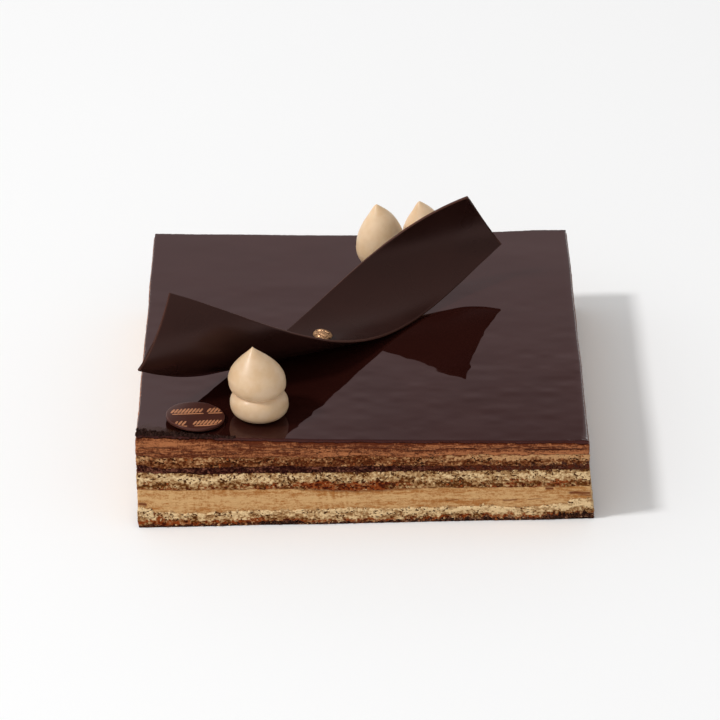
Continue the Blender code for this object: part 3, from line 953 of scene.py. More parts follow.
def bottom_look(outline, height, share):
    """The bottom sponge: pale above and darker below, partly browned crumb
    and partly painted shade near the floor, with a browned underside that is
    thick at the left and patchy elsewhere, and painted shade in a crevice
    beside the block."""
    at = outline.x / MILLI
    left = plateau(outline.x, -100.0, -46.0, 8.0)
    patches = plateau(outline.x, -20.0, 74.0, 10.0)
    patches = patches * smooth(2.0 * noise(outline.flat, [0.007] * 3, 77))
    reach = (1.5 + 1.3 * left + patches) * MILLI
    reach = np.where(outline.front, reach, 0.8 * MILLI)
    above = height - height[-1:]
    browned = 0.72 * (1.0 - smooth(above / np.maximum(reach, 1e-5) - 0.5))
    block = spots(outline, height, ((-96.6, 7.6, 3.6, 2.6, 0.5), (91.0, 9.0, 9.0, 3.5, 0.45),
                                    (46.0, 7.4, 12.0, 1.2, 0.3), (14.0, 7.2, 6.0, 1.0, 0.3)))
    # Painted shade in the crevice beside the block.
    shaded_crevice = spots(outline, height, ((-90.4, 3.6, 1.7, 2.6, 0.9), (-93.0, 8.6, 0.5, 2.2, 0.8)))
    # The tone falls towards the foot, partly browning and partly painted shade.
    tone = 0.93 - 0.55 * share + 0.10 * smooth(at / 40.0) + block - 0.5 * shaded_crevice
    tone = tone - 0.3 * smooth((share - 0.5) / 0.2) + 0.2 * plateau(outline.x, -12.0, 66.0, 10.0)
    return tone, browned + shaded_crevice - 0.6 * block


def lower_look(outline, height, share, places):
    """The lower cream: orange above, palest half-way down, reddish where the
    sponge has bled, paler where it is dragged upright, with short drag lines."""
    tone = mix(0.40, 0.50, smooth((share - 0.3) / 0.2)) + 0.30 * hump(share, 0.46, 0.16)
    bleed = 0.22 + 0.78 * plateau(outline.x, -24.0, 24.0, 16.0)
    bleed = np.where(outline.front, bleed, 0.3)
    red = bleed * (1.0 - smooth(share / (0.07 + 0.16 * bleed)))
    right = spots(outline, height, ((92.0, 13.4, 9.0, 3.6, 0.35), (50.0, 11.2, 24.0, 0.9, 0.2),
                                    (78.0, 12.8, 12.0, 1.0, 0.25)))
    pale = spots(outline, height, ((-70.0, 14.4, 22.0, 2.0, 0.16), (82.0, 10.4, 10.0, 2.0, 0.4),
                                   (-2.0, 13.0, 30.0, 1.2, 0.12)))
    drag = np.where(outline.front, hump(outline.x, -15.0 * MILLI, 11.0 * MILLI)
                    + 0.5 * hump(outline.x, -72.0 * MILLI, 14.0 * MILLI), 0.0)
    upright = noise(places, (0.0008, 0.0008, 0.005), 91)
    tone = tone - right + pale + 0.55 * drag * upright
    listed = ((89.0, 101.0, 14.6, -0.6, 0.95, 0.75), (93.0, 103.0, 13.2, -0.4, 0.6, 0.6),
              (-101.5, -95.5, 12.4, -0.9, 1.0, 0.8), (0.0, 8.0, 9.6, 0.2, 0.18, 0.3),
              (60.0, 68.0, 11.0, 0.3, 0.6, 0.6), (35.0, 42.0, 11.2, 0.2, 0.5, 0.6),
              (-4.0, 16.0, 13.0, 0.4, 0.2, 0.25), (71.0, 79.0, 11.4, 0.2, 0.5, 0.5),
              (79.5, 84.0, 17.2, -0.3, 0.75, 0.8), (45.0, 52.0, 11.6, 0.2, 0.4, 0.4),
              (-92.0, -78.0, 10.4, 0.6, 0.3, 0.25), (-60.0, -46.0, 10.9, 0.2, 0.25, 0.2))
    return tone, threads(outline, height, listed, 411) + 0.6 * red


def upper_look(outline, height, share, places):
    """The upper cream: brightest at the left corner, a duller band under the
    glaze, pale drags low at the right, and cracks along its whole length."""
    at = outline.x / MILLI
    foot = smooth((share - 0.55) / 0.3)
    tone = 0.42 - 0.12 * hump(share, 0.3, 0.14) + 0.16 * foot * smooth((at + 30.0) / 40.0)
    tone = tone - 0.55 * (1.0 - smooth(share / 0.16)) * smooth((at + 92.0) / 20.0)
    tone = tone - 0.18 * foot * smooth((-50.0 - at) / 20.0)
    glow = spots(outline, height, ((-93.0, 42.0, 13.0, 2.4, 0.42), (-72.0, 41.4, 12.0, 1.2, 0.25),
                                   (82.0, 36.4, 24.0, 0.8, 0.4), (93.0, 35.6, 8.0, 1.2, 0.25),
                                   (6.0, 36.8, 12.0, 0.7, 0.3), (-14.0, 36.8, 12.0, 0.9, 0.35),
                                   (48.0, 36.0, 12.0, 0.8, 0.3), (-52.0, 40.2, 8.0, 0.7, 0.3),
                                   (-16.0, 39.0, 10.0, 0.6, 0.25), (30.0, 39.6, 14.0, 0.8, 0.25)))
    listed = ((-101.0, -84.0, 40.3, 0.0, 0.4, 0.8), (-86.0, -74.0, 38.4, 0.4, 0.35, 0.6),
              (-84.0, -60.0, 36.9, -0.3, 0.35, 0.6), (-70.0, -60.0, 39.5, 0.0, 0.6, 0.6),
              (-61.0, -31.0, 40.6, 0.3, 0.4, 0.6), (-38.0, -22.0, 39.8, 0.2, 0.45, 0.6),
              (17.0, 31.0, 37.9, 0.4, 0.35, 0.95), (37.0, 52.0, 39.0, -0.2, 0.4, 0.8),
              (53.0, 68.0, 38.4, 1.0, 0.4, 0.7), (68.0, 101.0, 38.2, 0.4, 0.4, 0.95),
              (-55.0, -20.0, 37.4, 0.2, 0.3, 0.45), (-12.0, 14.0, 39.4, 0.3, 0.3, 0.5),
              (-100.0, -88.0, 37.6, 0.3, 0.35, 0.6), (56.0, 90.0, 39.9, -0.3, 0.25, 0.5),
              (-8.0, 18.0, 38.0, -0.2, 0.25, 0.45), (-46.0, -20.0, 38.8, 0.2, 0.25, 0.4))
    veins = layered(places, (0.0085, 0.0085, 0.0017), 501, 4)
    where = smooth(0.6 + 1.2 * noise(places, (0.010, 0.010, 0.003), 507))
    faint = 0.75 * where * np.exp(-(veins / 0.045) ** 2)
    return tone + glow, np.maximum(threads(outline, height, listed, 511), faint)


def ganache_look(outline, height, share):
    """The ganache: purple-black at the left, redder towards the right."""
    at = outline.x / MILLI
    redder = smooth((at + 6.0) / 70.0) + 0.0 * share
    left = smooth((-82.0 - at) / 14.0)
    return 0.42 + 0.12 * redder + 0.3 * left - 0.1 * hump(at, -12.0, 26.0), 0.8 * redder


def base_look(outline, height, share):
    """The chocolate base, paler where crumbs are pressed into it."""
    crumbed = 0.9 * layered(outline.places(height), (0.0035, 0.0035, 0.0012), 97, 2)
    black = plateau(outline.x, 80.0, 97.0, 6.0) + plateau(outline.x, -47.0, -28.0, 5.0)
    black = np.where(outline.front, black, 0.0)
    return crumbed - 0.02 - 0.3 * black, 0.5 + 0.4 * crumbed - 0.6 * black


# ================================================================== the operators
class CakeOperator:
    """What the cake's operators share."""

    bl_options = {"REGISTER", "UNDO"}

    @classmethod
    def poll(cls, context):
        return context.scene is not None


class CAKE_OT_sponges(CakeOperator, Operator):
    """Make the three sponge layers"""

    bl_idname = "cake.sponges"
    bl_label = "Sponge Layers"

    def execute(self, context):
        form, colours = context.scene.cake_form, context.scene.cake_colours
        pale = pale_crumb("pale_sponge_crumb", colours)
        brown = crumb_material("soaked_sponge_crumb", colours.top_light, colours.top_middle,
                               colours.top_dark, colours.top_soaked, colours.top_hole_shade,
                               colours.crumb_wet_hole_shade)
        slab("middle_sponge_layer", form, joint("cream_lower"), joint("sponge_middle"),
             crumb_relief(11, middle_look, 0.3 * MILLI), 38, SIDE_COLUMNS, pale,
             "pale_sponge", "sponge_middle")
        slab("bottom_sponge_layer", form, joint("base"), joint("sponge_bottom"),
             crumb_relief(47, bottom_look, 0.4 * MILLI, 0.9, 0.5, 0.45), 34, SIDE_COLUMNS,
             pale, "pale_sponge", "sponge_bottom")
        slab("top_sponge_layer", form, joint("ganache"), joint("sponge_top"),
             crumb_relief(83, top_look, 0.2 * MILLI, 0.85, 0.45, 0.45, 1.4), 26, SIDE_COLUMNS,
             brown, "soaked_sponge", "sponge_top")
        return {"FINISHED"}


def pale_crumb(name, colours):
    """The material of the pale sponges and of the crumbs that fall from them."""
    return crumb_material(name, colours.crumb_light, colours.crumb_middle, colours.crumb_dark,
                          colours.crumb_soaked, colours.crumb_hole_shade, colours.crumb_wet_hole_shade)


class CAKE_OT_creams(CakeOperator, Operator):
    """Make the two layers of coffee cream"""

    bl_idname = "cake.creams"
    bl_label = "Cream Layers"

    def execute(self, context):
        form, colours = context.scene.cake_form, context.scene.cake_colours
        fine = (860, 420, 420, 420)
        pale = cream_material("coffee_cream_spread", colours.cream_light, colours.cream_deep,
                              colours.cream_line, 1.5)
        brown = cream_material("soaked_cream_spread", colours.cream_bright, colours.cream_brown,
                               colours.cream_crack, 1.9)
        slab("lower_cream_layer", form, joint("sponge_bottom"), joint("cream_lower"),
             cream_relief(131, lower_look, 0.1 * MILLI, 0.10, 0.85), 40, fine, pale,
             "coffee_cream", "coffee_cream_lower")
        slab("upper_cream_layer", form, joint("sponge_top"), glaze_joint,
             cream_relief(151, upper_look, 0.3 * MILLI, 0.20, 1.0), 34, fine, brown,
             "soaked_cream", "coffee_cream_upper")
        return {"FINISHED"}


class CAKE_OT_chocolate_layers(CakeOperator, Operator):
    """Make the ganache and the chocolate under the cake"""

    bl_idname = "cake.chocolate_layers"
    bl_label = "Chocolate Layers"

    def execute(self, context):
        form, colours = context.scene.cake_form, context.scene.cake_colours
        ganache = broken_chocolate("ganache_cut", colours.ganache_light,
                                   colours.ganache_middle, colours.ganache,
                                   colours.ganache_soaked, colours.pit)
        base = broken_chocolate("base_chocolate", colours.base_light, colours.base_middle,
                                colours.base, colours.base_soaked, colours.pit)
        slab("ganache_layer", form, joint("sponge_middle"), joint("ganache"),
             crumb_relief(171, ganache_look, 0.0, 0.7, 0.25, 0.3, 1.1), 14, (900, 420, 420, 420),
             ganache, "ganache", "ganache")
        slab("chocolate_base_layer", form, underside, joint("base"),
             crumb_relief(191, base_look, -0.1 * MILLI, 0.7, 0.35, 0.5, 1.6), 12, SIDE_COLUMNS,
             base, "chocolate_base", "chocolate_base")
        return {"FINISHED"}


def broken_chocolate(name, light, middle, dark, soaked, pit):
    """Broken chocolate: crumb whose pores are blackened with painted shade, and a fainter
    reflection.
    """
    return crumb_material(name, light, middle, dark, soaked, pit, pit, 0.08)


class CAKE_OT_glaze(CakeOperator, Operator):
    """Make the mirror glaze"""

    bl_idname = "cake.glaze"
    bl_label = "Mirror Glaze"

    def execute(self, context):
        form, colours = context.scene.cake_form, context.scene.cake_colours
        mesh = glaze_mesh(form)
        made, tree, shader = new_material("mirror_glaze_gloss")
        cloud = speckle(tree, 0.03, 3.0)
        deep = shade(colours.glaze, 0.85)
        body = mixed(tree, spread(tree, cloud, 0.3, 0.7), colours.glaze, deep)
        dull = field(tree, "dull")
        gloss = spread(tree, speckle(tree, 0.008, 4.0), 0.3, 0.8, 0.02, 0.04)
        paint(tree, shader, mixed(tree, dull, body, colours.glaze_dull),
              sums(tree, "MULTIPLY_ADD", dull, 0.35, gloss))
        shader.inputs["IOR"].default_value = 1.5
        shader.inputs["Specular Tint"].default_value = (1.0, 0.32, 0.34, 1.0)
        place_piece("mirror_glaze", mesh, made, "glaze", "glaze")
        return {"FINISHED"}


def patch(front, right, back, left):
    """Points of a sheet stretched between four edges.

    Each inner point is the sum of the two blends between opposite edges, less
    the blend of the four corners.
    """
    u = np.linspace(0.0, 1.0, len(front))[None, :, None]
    v = np.linspace(0.0, 1.0, len(right))[:, None, None]
    lengthways = mix(front[None, :], back[None, :], v)
    sideways = mix(left[:, None], right[:, None], u)
    corners = mix(mix(front[0], front[-1], u), mix(back[0], back[-1], u), v)
    return lengthways + sideways - corners


def glaze_mesh(form):
    """The glaze as a closed sheet.

    Its face is an even patch that follows the cake's own height with faint
    swells; round it runs a finer ring whose columns are thirds of the patch's.
    The rim is a quarter turn, small on the cut sides and wide on the right
    shoulder, and below it the edge goes down to the ragged joint.
    """
    wide, deep, finer = 280, 190, 3
    outline = Outline(form, (wide * finer, deep * finer, wide * finer, deep * finer))
    low = glaze_joint(outline)
    x, y = outline.at(form.top_front_right, 0.0)
    shoulder = (outline.side == RIGHT) * smooth(40.0 * outline.along)
    near = hump(outline.y, -0.5 * form.depth, 0.022)
    chipped = layered(outline.flat, [0.0016] * 3, 211, 3)
    radius = MILLI * mix(0.40 + 0.25 * chipped, 1.2 + 1.3 * near, shoulder)
    radius = np.maximum(radius, 0.22 * MILLI)
    reach = np.minimum(radius, glaze_height(form, x, y) - low - 0.15 * MILLI)
    rough = np.where(outline.front, 0.30 + 0.45 * plateau(outline.x, -103.0, -62.0, 10.0), 0.2)
    rough = np.where(outline.side == LEFT, 0.3, rough) * MILLI

    def ring(inset, height=None):
        edge_x, edge_y = outline.at(form.top_front_right, -0.2 * MILLI - inset)
        if height is None:
            height = face_height(form, edge_x, edge_y)
        return np.stack([edge_x, edge_y, height], -1)

    edge_x, edge_y = outline.at(form.top_front_right, -0.2 * MILLI)
    edge_x = edge_x + MILLI * mix(1.3, -3.4, outline.across)
    edge_y = edge_y + MILLI * mix(1.3, -1.3, outline.along)
    border = np.stack([edge_x, edge_y, edge_x], -1)[::finer]
    corner = np.cumsum([0, wide, deep, wide, deep])
    closed = np.concatenate([border, border[:1]])
    face = patch(closed[:corner[1] + 1], closed[corner[1]:corner[2] + 1],
                 closed[corner[2]:corner[3] + 1][::-1], closed[corner[3]:][::-1])
    face[..., 2] = face_height(form, face[..., 0], face[..., 1])

    rings, dulls = [ring(radius)], [np.zeros(outline.columns)]
    level = rings[0][:, 2]
    for turn in np.linspace(0.0, 0.5 * math.pi, 6)[1:]:
        inset = radius * (1.0 - math.sin(turn)) + rough * smooth(turn) * np.abs(chipped)
        rings.append(ring(inset, level - reach * (1.0 - math.cos(turn))))
        dulls.append(np.full(outline.columns, 0.5 * turn))
    start = rings[-1][:, 2]
    for share in np.linspace(0.0, 1.0, 5)[1:]:
        torn = layered((outline.x, outline.y, start - share * MILLI), [0.0012] * 3, 231, 3)
        rings.append(ring(rough * (0.5 + 0.5 * np.abs(torn) + 0.15 * share),
                          mix(start, low, share)))
        dulls.append(np.full(outline.columns, 0.6))
    rings.append(rings[-1] * CAP_SHARE + [0.0, 0.0, CAP_DROP])
    dulls.append(dulls[-1])

    rings = np.array(rings)
    rows, columns = rings.shape[:2]
    centre = [0.0, 0.0, float(glaze_height(form, 0.0, 0.0)) - form.glaze_thickness]
    points = np.concatenate([face.reshape(-1, 3), rings.reshape(-1, 3), [centre]])
    first = face.shape[0] * face.shape[1]
    number = np.arange(first).reshape(face.shape[:2])
    inner = np.concatenate([number[0, :-1], number[:-1, -1],
                            number[-1, :0:-1], number[:0:-1, 0]])
    inner_next = np.roll(inner, -1)
    outer = first + np.arange(0, columns, finer)
    after = first + (np.arange(0, columns, finer) + finer) % columns
    seam = np.concatenate([np.stack([inner, outer, outer + 1], -1),
                           np.stack([inner, outer + 1, outer + 2], -1),
                           np.stack([inner, outer + 2, inner_next], -1),
                           np.stack([inner_next, outer + 2, after], -1)])
    under = fan_faces(len(points) - 1, first + (rows - 1) * columns, columns, False)
    quads = np.concatenate([grid_faces(*face.shape[:2], False)[:, ::-1],
                            grid_faces(rows, columns, True, first)])
    face_x, face_y = face[..., 0], face[..., 1]
    torn = layered((face_x, face_y, 0.0 * face_x), [0.003, 0.003, 1.0], 241, 4)
    strip = (face_y + 0.5 * form.depth) / MILLI - mix(9.0, -3.0, smooth(face_x / 0.04 + 2.4))
    worn = 1.1 * smooth(0.5 - 0.20 * strip + 1.3 * torn)
    dull = np.concatenate([worn.ravel(), np.array(dulls).ravel(), [1.0]])
    return make_mesh("mirror_glaze", points, quads, np.concatenate([seam, under]),
                     {"dull": dull})


def face_height(form, x, y):
    """The glaze's face: its height less a hair, with long swells and, towards
    the cut face, short level ripples."""
    flat = (x, y, 0.0 * x)
    swell = 0.026 * noise(flat, [0.024, 0.015, 1.0], 221)
    near = smooth(0.5 - 9.0 * y)
    ripple = 0.030 * noise(flat, [0.0085, 0.0050, 1.0], 227) * (0.22 + 0.50 * near)
    fine = 0.005 * noise(flat, [0.0040, 0.0026, 1.0], 233) * near
    return glaze_height(form, x, y) - 0.08 * MILLI + MILLI * (swell + ripple + fine)


# ----------------------------------------------------------------- decorations
class CAKE_OT_sheet(CakeOperator, Operator):
    """Make the bent sheet of dark chocolate"""

    bl_idname = "cake.sheet"
    bl_label = "Chocolate Sheet"

    def execute(self, context):
        form, colours = context.scene.cake_decoration, context.scene.cake_colours
        points, quads, triangles, rim = bent_sheet(form)
        mesh = make_mesh("chocolate_sheet", moved_into(points, "chocolate_curl"), quads, triangles,
                         {"edge": rim})
        # The paler edge colour is a painted highlight along the sheet's edges.
        material = chocolate_material("sheet_chocolate", colours.chocolate,
                                      colours.sheet_bloom, 0.3, 0.10, 0.03,
                                      colours.sheet_edge_highlight)
        place_piece("chocolate_sheet", mesh, material, "dark_chocolate", "chocolate_curl")
        return {"FINISHED"}


def bent_sheet(form):
    """A thin rectangle bent round a slanted line.

    A point s along and t across the flat sheet lies q = roll - s sin(slant)
    - t cos(slant) across the line it touches and g = s cos(slant)
    - t sin(slant) along it; q then runs round a circle of the sheet's radius,
    and the depth into the sheet shortens that radius.
    """
    half_long, half_wide = 0.5 * form.sheet_length, 0.5 * form.sheet_width
    thick, middle = form.sheet_thickness, 0.5 * form.sheet_thickness
    columns, rows = 72, 300         # points across each face and along the sheet
    soft = 0.2 * thick              # how far a rounded edge reaches inwards
    thinned = 0.55                  # how much of the thickness the ends lose
    arc = np.linspace(-0.5 * math.pi, 0.5 * math.pi, 7)
    flat = np.linspace(-1.0, 1.0, columns)[1:-1]
    across = [flat * (half_wide - soft), half_wide - soft + soft * np.cos(arc),
              flat[::-1] * (half_wide - soft), -half_wide + soft - soft * np.cos(arc)]
    depth = [0.0 * flat, middle + middle * np.sin(arc), thick + 0.0 * flat,
             middle - middle * np.sin(arc)]
    across, depth = np.concatenate(across), np.concatenate(depth)
    ends = soft * (1.0 - np.sin(np.linspace(0.0, 0.5 * math.pi, 5)))[:-1]
    body = np.linspace(-half_long + soft, half_long - soft, rows)
    stations = np.concatenate([-half_long + ends, body, half_long - ends[::-1]])
    shrink_end = 1.0 - np.sqrt(1.0 - (ends / soft) ** 2)
    shrink = np.concatenate([shrink_end, 0.0 * body, shrink_end[::-1]])
    s = stations[:, None] + 0.0 * across[None, :]
    t = across[None, :] * (1.0 - shrink[:, None] * soft / half_wide)
    n = middle + (depth[None, :] - middle) * (1.0 - thinned * shrink[:, None])
    uneven = noise((s, t, 0.0 * s), (0.05, 0.03, 1.0), 611)
    edge = noise((s, t, 0.0 * s), (0.006, 0.006, 1.0), 617)
    t = t * (1.0 - 0.004 + 0.004 * edge)
    rings = bent(form, s, t, n + 0.05 * MILLI * uneven)
    first = bent(form, stations[0], 0.0, middle)
    last = bent(form, stations[-1], 0.0, middle)
    points, quads, triangles = closed_tube(rings, first, last)
    at_end = np.abs(stations) > half_long - 1.01 * soft
    rim = np.where(np.abs(across) > half_wide - 0.8 * soft, 1.0, 0.0)[None, :]
    rim = with_poles(np.minimum(rim + at_end[:, None], 1.0), 1.0, 1.0)
    return points, quads[:, ::-1], triangles[:, ::-1], rim


def bent(form, s, t, n):
    """Where a point of the flat sheet goes, n above its lower face, in the cake's frame."""
    slant, heading = form.sheet_slant, form.sheet_heading
    q = form.sheet_roll - s * math.sin(slant) - t * math.cos(slant)
    g = s * math.cos(slant) - t * math.sin(slant) + 0.0 * q
    turn = q / form.sheet_radius
    inner = form.sheet_radius - n
    across = inner * np.sin(turn)
    height = form.sheet_radius - inner * np.cos(turn)
    x = g * math.cos(heading) + across * math.sin(heading)
    y = g * math.sin(heading) - across * math.cos(heading)
    return np.stack([x, y, height + 0.0 * x], -1)


class CAKE_OT_dollops(CakeOperator, Operator):
    """Make the three piped dollops"""

    bl_idname = "cake.dollops"
    bl_label = "Piped Dollops"

    def execute(self, context):
        colours = context.scene.cake_colours
        front = piped_material("piped_cream_soft", colours.piped)
        # The back dollops take the lighter copy of the cream, painted light.
        back = piped_material("piped_cream_lit_copy", colours.piped_back_lit)
        for name, node, shape in (("front_dollop", "dollop_front", double_drop),
                                  ("back_dollop_left", "dollop_back_left", single_drop),
                                  ("back_dollop_right", "dollop_back_right", single_drop)):
            points, quads, triangles = turned(*shape(node), len(name))
            placed = moved_into(points, node)
            placed[:, 2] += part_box(node)[0].z - placed[:, 2].min()
            mesh = make_mesh(name, placed, quads, triangles)
            place_piece(name, mesh, front if node == "dollop_front" else back, "piped_cream", node)
        return {"FINISHED"}


def piped_material(name, cream):
    """Piped cream: soft, faintly mottled, with fine rings left by the nozzle."""
    made, tree, shader = new_material(name)
    cloud = speckle(tree, 0.006, 3.0)
    warm = shade(cream, (0.93, 0.88, 0.8))
    grain = speckle(tree, 0.0009, 3.0, 0.6, (1.0, 1.0, 0.5))
    paint(tree, shader, mixed(tree, spread(tree, cloud, 0.35, 0.7), cream, warm),
          spread(tree, grain, 0.3, 0.7, 0.34, 0.46))
    emboss(tree, shader, grain, 0.12, 0.0002)
    shader.inputs["Subsurface Weight"].default_value = 0.1
    shader.inputs["Subsurface Radius"].default_value = (1.0, 0.6, 0.35)
    shader.inputs["Subsurface Scale"].default_value = 0.002
    return made


def drop_profile(below_tip, to_widest, closing, radius, sharpness):
    """Radius of a drop below its tip: a quarter sine of depth raised to the
    sharpness down to the widest ring, then a quarter ellipse."""
    upper = np.sin(0.5 * math.pi * np.clip(below_tip / to_widest, 0.0, 1.0) ** sharpness)
    under = np.clip((below_tip - to_widest) / closing, 0.0, 1.0)
    return radius * np.where(below_tip <= to_widest, upper, np.sqrt(1.0 - under ** 2))


def double_drop(node):
    """Levels, radii, height, axis shift and tilt of the front dollop: a drop
    that sags over a flattened ball, with a deep crease between them.

    The ball and the drop's underside are superellipses, a cosine and a sine
    raised to a power; they meet at the crease's radius.
    """
    low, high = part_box(node)
    tall = high.z - low.z
    crease, throat = 0.0106, 0.0003     # the crease's radius and height
    belly, wide, below, above_belly = 0.0056, 0.0133, 0.0068, 0.0078
    drop_wide, sharpness = 0.0131, 1.1
    ball_power, drop_power = 2.6, 3.0
    down = superellipse(wide, below, ball_power)
    up = superellipse(wide, above_belly, ball_power)
    foot = np.linspace(-math.asin((belly / below) ** (0.5 * ball_power)), 0.0, 22)[:-1]
    top = np.linspace(0.0, math.acos((crease / wide) ** (0.5 * ball_power)), 26)
    ball_r = np.concatenate([down(foot)[0], up(top)[0]])
    ball_z = belly + np.concatenate([down(foot)[1], up(top)[1]])
    widest = 0.515 * tall
    inwards = (1.0 - (crease / drop_wide) ** drop_power) ** (1.0 / drop_power)
    closing = (widest - ball_z[-1] - throat) / inwards
    under = superellipse(drop_wide, closing, drop_power)
    lip = -np.linspace(math.acos((crease / drop_wide) ** (0.5 * drop_power)), 0.0, 26)
    rise = np.sin(np.linspace(0.0, 0.5 * math.pi, 60))[1:-1]
    above = mix(widest, tall, rise)
    drop_r = drop_profile(tall - above, tall - widest, 0.01, drop_wide, sharpness)
    levels = np.concatenate([ball_z, widest + under(lip)[1], above])
    radii = np.concatenate([ball_r, under(lip)[0], drop_r])
    tilt = 0.08 * hump(levels, ball_z[-1], 0.008)
    return levels, radii, tall, -0.0011 - 0.0028 * (levels / tall) ** 1.4, tilt


def superellipse(wide, high, power):
    """Radius and level of a superellipse at an angle from its widest ring."""
    def at(turn):
        level = np.sign(turn) * np.abs(np.sin(turn)) ** (2.0 / power)
        return wide * np.cos(turn) ** (2.0 / power), high * level
    return at


def single_drop(node):
    """Levels, radii, height, axis shift and tilt of a back drop, whose tip leans left."""
    low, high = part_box(node)
    taller, wider = 0.0007, 0.0003      # how far the drop outgrows its node's box
    tall = high.z - low.z + taller
    radius = 0.5 * (high.y - low.y) + wider
    levels = tall * (0.5 - 0.5 * np.cos(math.pi * np.linspace(0.0, 1.0, 90)[:-1]))
    radii = drop_profile(tall - levels, 0.75 * tall, 0.36 * tall, radius, 0.84)
    shift = -0.0009 - 0.0021 * smooth((levels / tall - 0.70) / 0.34) ** 1.5
    return levels, radii, tall, shift, 0.0 * levels


def turned(levels, radii, tall, shift, tilt, seed):
    """A turned piece: rings of the given radii at the given levels round a bent
    axis, with faint level ripples that fade at the tip and the foot."""
    around = circle(120)
    level = levels[::-1, None]
    radius = radii[::-1, None]
    places = (radius * np.cos(around), radius * np.sin(around), level + 0.0 * around)
    swell = 0.010 * noise(places, [0.009, 0.009, 0.006], 700 + seed)
    ripple = 0.006 * noise(places, [0.02, 0.02, 0.0012], 720 + seed)
    fade = np.sin(math.pi * np.clip(level / tall, 0.0, 1.0)) ** 0.5
    scale = (0.985 + (swell + ripple) * fade) * radius
    x = scale * np.cos(around) + shift[::-1, None]
    y = scale * np.sin(around)
    rings = np.stack([x, y, level - tilt[::-1, None] * y], -1)
    return closed_tube(rings, (float(shift[-1]), 0.0, tall), (0.0, 0.0, 0.0))


class CAKE_OT_disc(CakeOperator, Operator):
    """Make the chocolate disc and its copper print"""

    bl_idname = "cake.disc"
    bl_label = "Printed Disc"

    def execute(self, context):
        form, colours = context.scene.cake_decoration, context.scene.cake_colours
        tilt = np.array(Matrix.Rotation(form.disc_left_up, 3, "Y")
                        @ Matrix.Rotation(-form.disc_front_up, 3, "X"))
        points, quads, triangles = disc_body(form)
        placed = moved_into(points @ tilt.T, "chocolate_disc")
        shift = placed[0] - (points @ tilt.T)[0]
        reach = np.hypot(points[:, 0], points[:, 1]) / form.disc_radius
        # The edge field mixes a faint painted highlight into the rim.
        mesh = make_mesh("printed_disc", placed, quads, triangles,
                         {"edge": 0.05 * smooth((reach - 0.96) / 0.02)})
        material = chocolate_material("disc_chocolate", colours.disc, colours.disc_bloom,
                                      0.28, 0.3, 0.05, colours.disc_rim_highlight)
        place_piece("printed_disc", mesh, material, "dark_chocolate", "chocolate_disc")
        points, quads, triangles = disc_print(form)
        mesh = make_mesh("disc_print", points @ tilt.T + shift, quads, triangles)
        mesh.shade_flat()
        made, tree, shader = new_material("copper_print")
        worn = speckle(tree, 0.0007, 3.0)
        dark = shade(colours.copper, 0.45)
        paint(tree, shader, mixed(tree, spread(tree, worn, 0.25, 0.5), dark, colours.copper),
              spread(tree, worn, 0.3, 0.7, 0.5, 0.35))
        shader.inputs["Metallic"].default_value = 0.35
        place_piece("disc_print", mesh, made, "gilding")
        return {"FINISHED"}


def disc_body(form):
    """The disc: rings from the middle of its face over a rounded rim to its back."""
    soft = 0.0004
    radius, thick = form.disc_radius - 0.00005, form.disc_thickness
    turn = np.linspace(0.0, 0.5 * math.pi, 6)
    face, back = np.linspace(0.1, 1.0, 12)[:-1], np.linspace(1.0, 0.1, 6)[1:]
    reach = np.concatenate([face * (radius - soft), radius - soft + soft * np.sin(turn),
                            radius - soft + soft * np.cos(turn), back * (radius - soft)])
    level = np.concatenate([0.5 * thick + 0.0 * face, 0.5 * thick - soft + soft * np.cos(turn),
                            -0.5 * thick + soft - soft * np.sin(turn),
                            -0.5 * thick + 0.0 * back])
    around = circle(128)
    reach, level = reach[:, None], level[:, None]
    rings = np.stack([reach * np.cos(around), reach * np.sin(around), level + 0.0 * around], -1)
    return closed_tube(rings, (0.0, 0.0, 0.5 * thick), (0.0, 0.0, -0.5 * thick))


